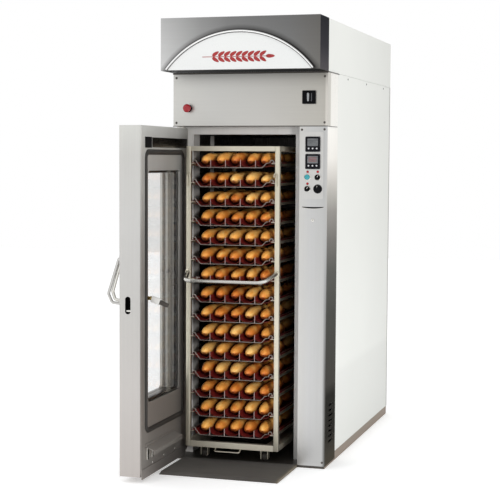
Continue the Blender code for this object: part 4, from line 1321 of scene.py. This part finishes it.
def build_tray(k):
    z = tray_level(k)
    bm = bmesh.new()
    top = channel_profile(z)
    sheet = 0.0012
    rows = [TRAY_Y0 + 0.004, TRAY_Y0 + 0.30, TRAY_Y1 - 0.30, TRAY_Y1 - 0.004]
    upper, lower = [], []
    for y in rows:
        upper.append([bm.verts.new((u, y, v)) for u, v in top])
        lower.append([bm.verts.new((u, y, v - sheet)) for u, v in top])
    n = len(top)
    for r in range(len(rows) - 1):
        for j in range(n - 1):
            bm.faces.new((upper[r][j], upper[r][j + 1], upper[r + 1][j + 1],
                          upper[r + 1][j]))
            bm.faces.new((lower[r][j + 1], lower[r][j], lower[r + 1][j],
                          lower[r + 1][j + 1]))
        for side in (0, n - 1):
            quad = (upper[r][side], upper[r + 1][side], lower[r + 1][side],
                    lower[r][side])
            bm.faces.new(quad if side == 0 else quad[::-1])
    for r in (0, len(rows) - 1):
        for j in range(n - 1):
            quad = (upper[r][j], lower[r][j], lower[r][j + 1],
                    upper[r][j + 1])
            bm.faces.new(quad if r == 0 else quad[::-1])
    name = f"tray_{k + 1:02d}"
    obj_from(f"tray_sheet_{k + 1:02d}", to_mesh(bm, f"tray_sheet_{k + 1:02d}",
                                                50),
             M_COAT, name, name)

    # wire frame: front and rear wires with prongs, side wires, rolled ends
    bm = bmesh.new()
    for y, front in ((TRAY_Y0 + 0.0035, True), (TRAY_Y1 - 0.0035, False)):
        wire = bent([(-0.2800, y, z + 0.0215), (-0.2740, y, z + 0.0205),
                     (-0.2560, y, z - 0.0030), (0.0780, y, z - 0.0030),
                     (0.1000, y, z + 0.0205), (0.1120, y, z + 0.0215)],
                    0.010, 3)
        add_tube(bm, wire, 0.0023, 8, 0)
        for c in range(4):
            x = RACK_X + PITCH * (c - 1.5)
            add_tube(bm, [(x, y, z - 0.002), (x, y, z + 0.032),
                          (x, y + (0.003 if front else -0.003), z + 0.0365)],
                     0.0018, 7, 1)
        # the hooks of the tray behind the push bar are lower and set in
        tucked = front and k == 6
        rise = 0.0255 if tucked else 0.0355
        for x, hand in ((-0.2890, 1), (0.1290, -1)):
            x += hand * (0.018 if tucked else 0.0)
            add_tube(bm, bent([(x + hand * 0.012, y, z + 0.0215),
                               (x + hand * 0.006, y, z + rise - 0.0005),
                               (x - hand * 0.006, y, z + rise + 0.0005),
                               (x - hand * 0.010, y, z + rise - 0.009
                                + (0.004 if tucked else 0.0)),
                               (x - hand * 0.004, y, z + 0.0240)], 0.006, 4),
                     0.0029, 8, 0)
    for x in (-0.2990, 0.1390):
        add_tube(bm, [(x, TRAY_Y0 + (0.060 if k == 6 else 0.003), z + 0.0252),
                      (x, TRAY_Y1 - 0.003, z + 0.0252)], 0.0030, 8, 1)
    obj_from(f"tray_wires_{k + 1:02d}", to_mesh(bm,
                                                f"tray_wires_{k + 1:02d}", 50),
             [M_WIRE, M_PRONG], name)


def build_loaves(k):
    """Scored loaves lying two to a channel, end to end, on one tray."""
    rnd = random.Random(4100 + 37 * k)
    z = tray_level(k)
    verts, faces, tone, score, underside_bake_and_flank_shade = [], [], [], [], []
    rings, sides = 22, 16
    for n in range(10):
        c, row = n % 5, n // 5
        cx = RACK_X + PITCH * (c - 2) + rnd.uniform(-0.004, 0.003)
        if row == 0:
            y0 = TRAY_Y0 + rnd.uniform(0.012, 0.032)
            y1 = TRAY_Y0 + rnd.uniform(0.362, 0.384)
        else:
            y0 = TRAY_Y0 + rnd.uniform(0.398, 0.412)
            y1 = TRAY_Y1 - rnd.uniform(0.012, 0.034)
        rx = rnd.uniform(0.0300, 0.0340)
        rz = rnd.uniform(0.0350, 0.0400)
        lift = z + 0.0035
        shade = rnd.uniform(0.28, 0.86)
        bend = rnd.uniform(-0.004, 0.004)
        seed = Vector((rnd.uniform(0, 50), rnd.uniform(0, 50), k * 3.0))
        cuts = rnd.choice((2.6, 3.0, 3.3))
        phase = rnd.uniform(0.0, 0.6)
        start = len(verts)
        for i in range(rings):
            t = i / (rings - 1)
            s = t - 0.11 * math.sin(math.tau * t) / math.tau * 3.0
            y = y0 + (y1 - y0) * s
            end = min(y - y0, y1 - y) / 0.105
            full = 1.0 if end >= 1 else max(0.0, 1 - (1 - end) ** 2.2) ** 0.50
            full = max(full, 0.05)
            slim = full ** 0.8
            for j in range(sides):
                a = math.tau * j / sides
                nx, nz = math.cos(a), math.sin(a)
                lump = 1 + 0.07 * (noise.noise(seed + Vector(
                    (nx * 1.3, y * 11.0, nz * 1.3))))
                r_x, r_z = rx * slim * lump, rz * full * lump
                px = cx + bend * math.sin(math.pi * s) + r_x * nx
                h = nz if nz > 0 else nz * 0.78
                pz = lift + rz * 0.80 + r_z * h
                # slanting scores that open across the top
                u = (s + phase + 0.055 * nx) * cuts
                w = abs((u % 1.0) - 0.5) * 2
                open_ = max(0.0, 1 - w / 0.62) if nz > 0.25 else 0.0
                open_ *= min(1.0, max(0.0, (nz - 0.25) / 0.3)) * min(
                    1.0, end * 1.5)
                ridge = math.sin(open_ * math.pi) * 0.0022 - open_ * 0.0012
                verts.append((px, y, pz + ridge))
                tone.append(min(1.0, max(0.0, shade + 0.24 * noise.noise(
                    seed + Vector((nx * 2.0, y * 24.0, nz * 2.0)))
                    + 0.10 * nz)))
                score.append(open_ * 0.85)
                # painted shade: the flanks are darkened, and the underside,
                # partly for its bake colour
                flank = max(0.0, abs(nx) - 0.45) / 0.55
                underside_bake_and_flank_shade.append(max(0.0, min(1.0, -nz * 0.9 + 0.05 + 0.95
                                          * flank * min(1.0, end * 0.9))))
            if i:
                a0 = start + (i - 1) * sides
                b0 = start + i * sides
                for j in range(sides):
                    faces.append((a0 + j, a0 + (j + 1) % sides,
                                  b0 + (j + 1) % sides, b0 + j))
        faces.append(tuple(start + j for j in range(sides))[::-1])
        faces.append(tuple(start + (rings - 1) * sides + j
                           for j in range(sides)))
    mesh = bpy.data.meshes.new(f"loaves_{k + 1:02d}")
    mesh.from_pydata(verts, [], faces)
    for key, values in (("tone", tone), ("score", score), ("underside_bake_and_flank_shade", underside_bake_and_flank_shade)):
        layer = mesh.attributes.new(key, 'FLOAT', 'POINT')
        layer.data.foreach_set("value", values)
    bm = bmesh.new()
    bm.from_mesh(mesh)
    bmesh.ops.recalc_face_normals(bm, faces=bm.faces)
    bm.to_mesh(mesh)
    bm.free()
    smooth(mesh, 60)
    obj_from(f"loaves_{k + 1:02d}", mesh, M_CRUST, f"tray_{k + 1:02d}")


for k in range(15):
    build_tray(k)
    build_loaves(k)

# =============================================================== chamber
# upright air duct edge on the left wall
bm = bmesh.new()
add_box(bm, (-0.3454, -0.3436), (Y(0.40), Y(0.46)), (0.060, 1.715), 0.0008, 1)
obj_from("air_duct_edge", to_mesh(bm, "air_duct_edge"), M_FRAME, "cabinet")

# ================================================================= stage
floor = bpy.data.meshes.new("floor")
floor.from_pydata([(-14, -14, 0), (14, -14, 0), (14, 14, 0), (-14, 14, 0)],
                  [], [(0, 1, 2, 3)])
floor_obj = bpy.data.objects.new("floor", floor)
COL.objects.link(floor_obj)
g = Graph("pale_floor")
g.set("Base Color", g.mix(g.noise((0.8, 0.8, 0.8), 2.0), rgb(250, 250, 250),
                          rgb(247, 247, 247)))
g.set("Roughness", 0.75)
g.set("Specular IOR Level", 0.1)
g.set("Emission Color", (1, 1, 1, 1))
g.set("Emission Strength", 0.30)
floor.materials.append(g.mat)

world = bpy.data.worlds.new("studio")
SCENE.world = world
world.use_nodes = True
wt = world.node_tree
wt.nodes.clear()
out = wt.nodes.new("ShaderNodeOutputWorld")
lit = wt.nodes.new("ShaderNodeBackground")
seen = wt.nodes.new("ShaderNodeBackground")
mixer = wt.nodes.new("ShaderNodeMixShader")
path = wt.nodes.new("ShaderNodeLightPath")
coord = wt.nodes.new("ShaderNodeTexCoord")
split = wt.nodes.new("ShaderNodeSeparateXYZ")
ramp = wt.nodes.new("ShaderNodeValToRGB")
remap = wt.nodes.new("ShaderNodeMapRange")
wt.links.new(coord.outputs["Generated"], split.inputs[0])
wt.links.new(split.outputs[2], remap.inputs[0])
remap.inputs[1].default_value = -1.0
remap.inputs[2].default_value = 1.0
wt.links.new(remap.outputs[0], ramp.inputs[0])
ramp.color_ramp.elements[0].position = 0.0
ramp.color_ramp.elements[0].color = (0.80, 0.80, 0.80, 1)
ramp.color_ramp.elements[1].position = 1.0
ramp.color_ramp.elements[1].color = (0.86, 0.87, 0.88, 1)
mid = ramp.color_ramp.elements.new(0.52)
mid.color = (0.97, 0.97, 0.96, 1)
wt.links.new(ramp.outputs[0], lit.inputs[0])
lit.inputs[1].default_value = 0.98
seen.inputs[0].default_value = (1, 1, 1, 1)
seen.inputs[1].default_value = 1.0
wt.links.new(path.outputs["Is Camera Ray"], mixer.inputs[0])
wt.links.new(lit.outputs[0], mixer.inputs[1])
wt.links.new(seen.outputs[0], mixer.inputs[2])
wt.links.new(mixer.outputs[0], out.inputs[0])


def area(name, location, target, size, energy, colour=(1, 1, 1)):
    data = bpy.data.lights.new(name, 'AREA')
    data.shape = 'RECTANGLE'
    data.size, data.size_y = size
    data.energy = energy
    data.color = colour
    obj = bpy.data.objects.new(name, data)
    obj.location = location
    obj.rotation_euler = (Vector(target) - Vector(location)).to_track_quat(
        '-Z', 'Y').to_euler()
    COL.objects.link(obj)
    obj.visible_glossy = False
    return obj


area("key_softbox", (-3.2, -5.6, 4.2), (-0.1, -0.8, 1.0), (2.6, 2.6), 46)
area("fill_softbox", (3.6, -3.2, 3.4), (0.2, 0.0, 1.0), (2.4, 2.4), 10)
area("top_softbox", (0.2, -2.6, 5.2), (0.0, -0.6, 0.8), (3.2, 2.2), 10)

# a soft front light that only the loaded rack receives
load = bpy.data.collections.new("load_receivers")
for obj in bpy.data.objects:
    if obj.name.startswith(("loaves_", "tray_sheet_", "tray_wires_",
                            "door_frame", "air_duct_edge")):
        load.objects.link(obj)
front = area("load_softbox", (3.7, -6.1, 2.0), (-0.05, -0.5, 0.9), (0.5, 0.9),
             300, (1.0, 0.97, 0.93))
front.light_linking.receiver_collection = load

cam_data = bpy.data.cameras.new("camera")
cam_data.sensor_fit = 'HORIZONTAL'
cam_data.sensor_width = 36.0
cam_data.lens = 1346.87 * 36.0 / 500.0
cam_data.clip_end = 100.0
cam = bpy.data.objects.new("camera", cam_data)
COL.objects.link(cam)
yaw, pitch, roll = (math.radians(a) for a in
                    (-16.97425234, -3.83918575, 0.30877087))
forward = Vector((math.sin(yaw) * math.cos(pitch),
                  math.cos(yaw) * math.cos(pitch), math.sin(pitch)))
right = Vector((math.cos(yaw), -math.sin(yaw), 0.0))
up = right.cross(forward)
r2 = right * math.cos(roll) + up * math.sin(roll)
u2 = -right * math.sin(roll) + up * math.cos(roll)
turn = Matrix((r2, u2, -forward)).transposed().to_4x4()
turn.translation = Vector((2.03661083, -6.64731451 + F, 1.58639043))
cam.matrix_world = turn
SCENE.camera = cam

SCENE.view_settings.view_transform = 'Standard'
SCENE.view_settings.look = 'None'
SCENE.view_settings.exposure = 0.0
SCENE.view_settings.gamma = 1.0
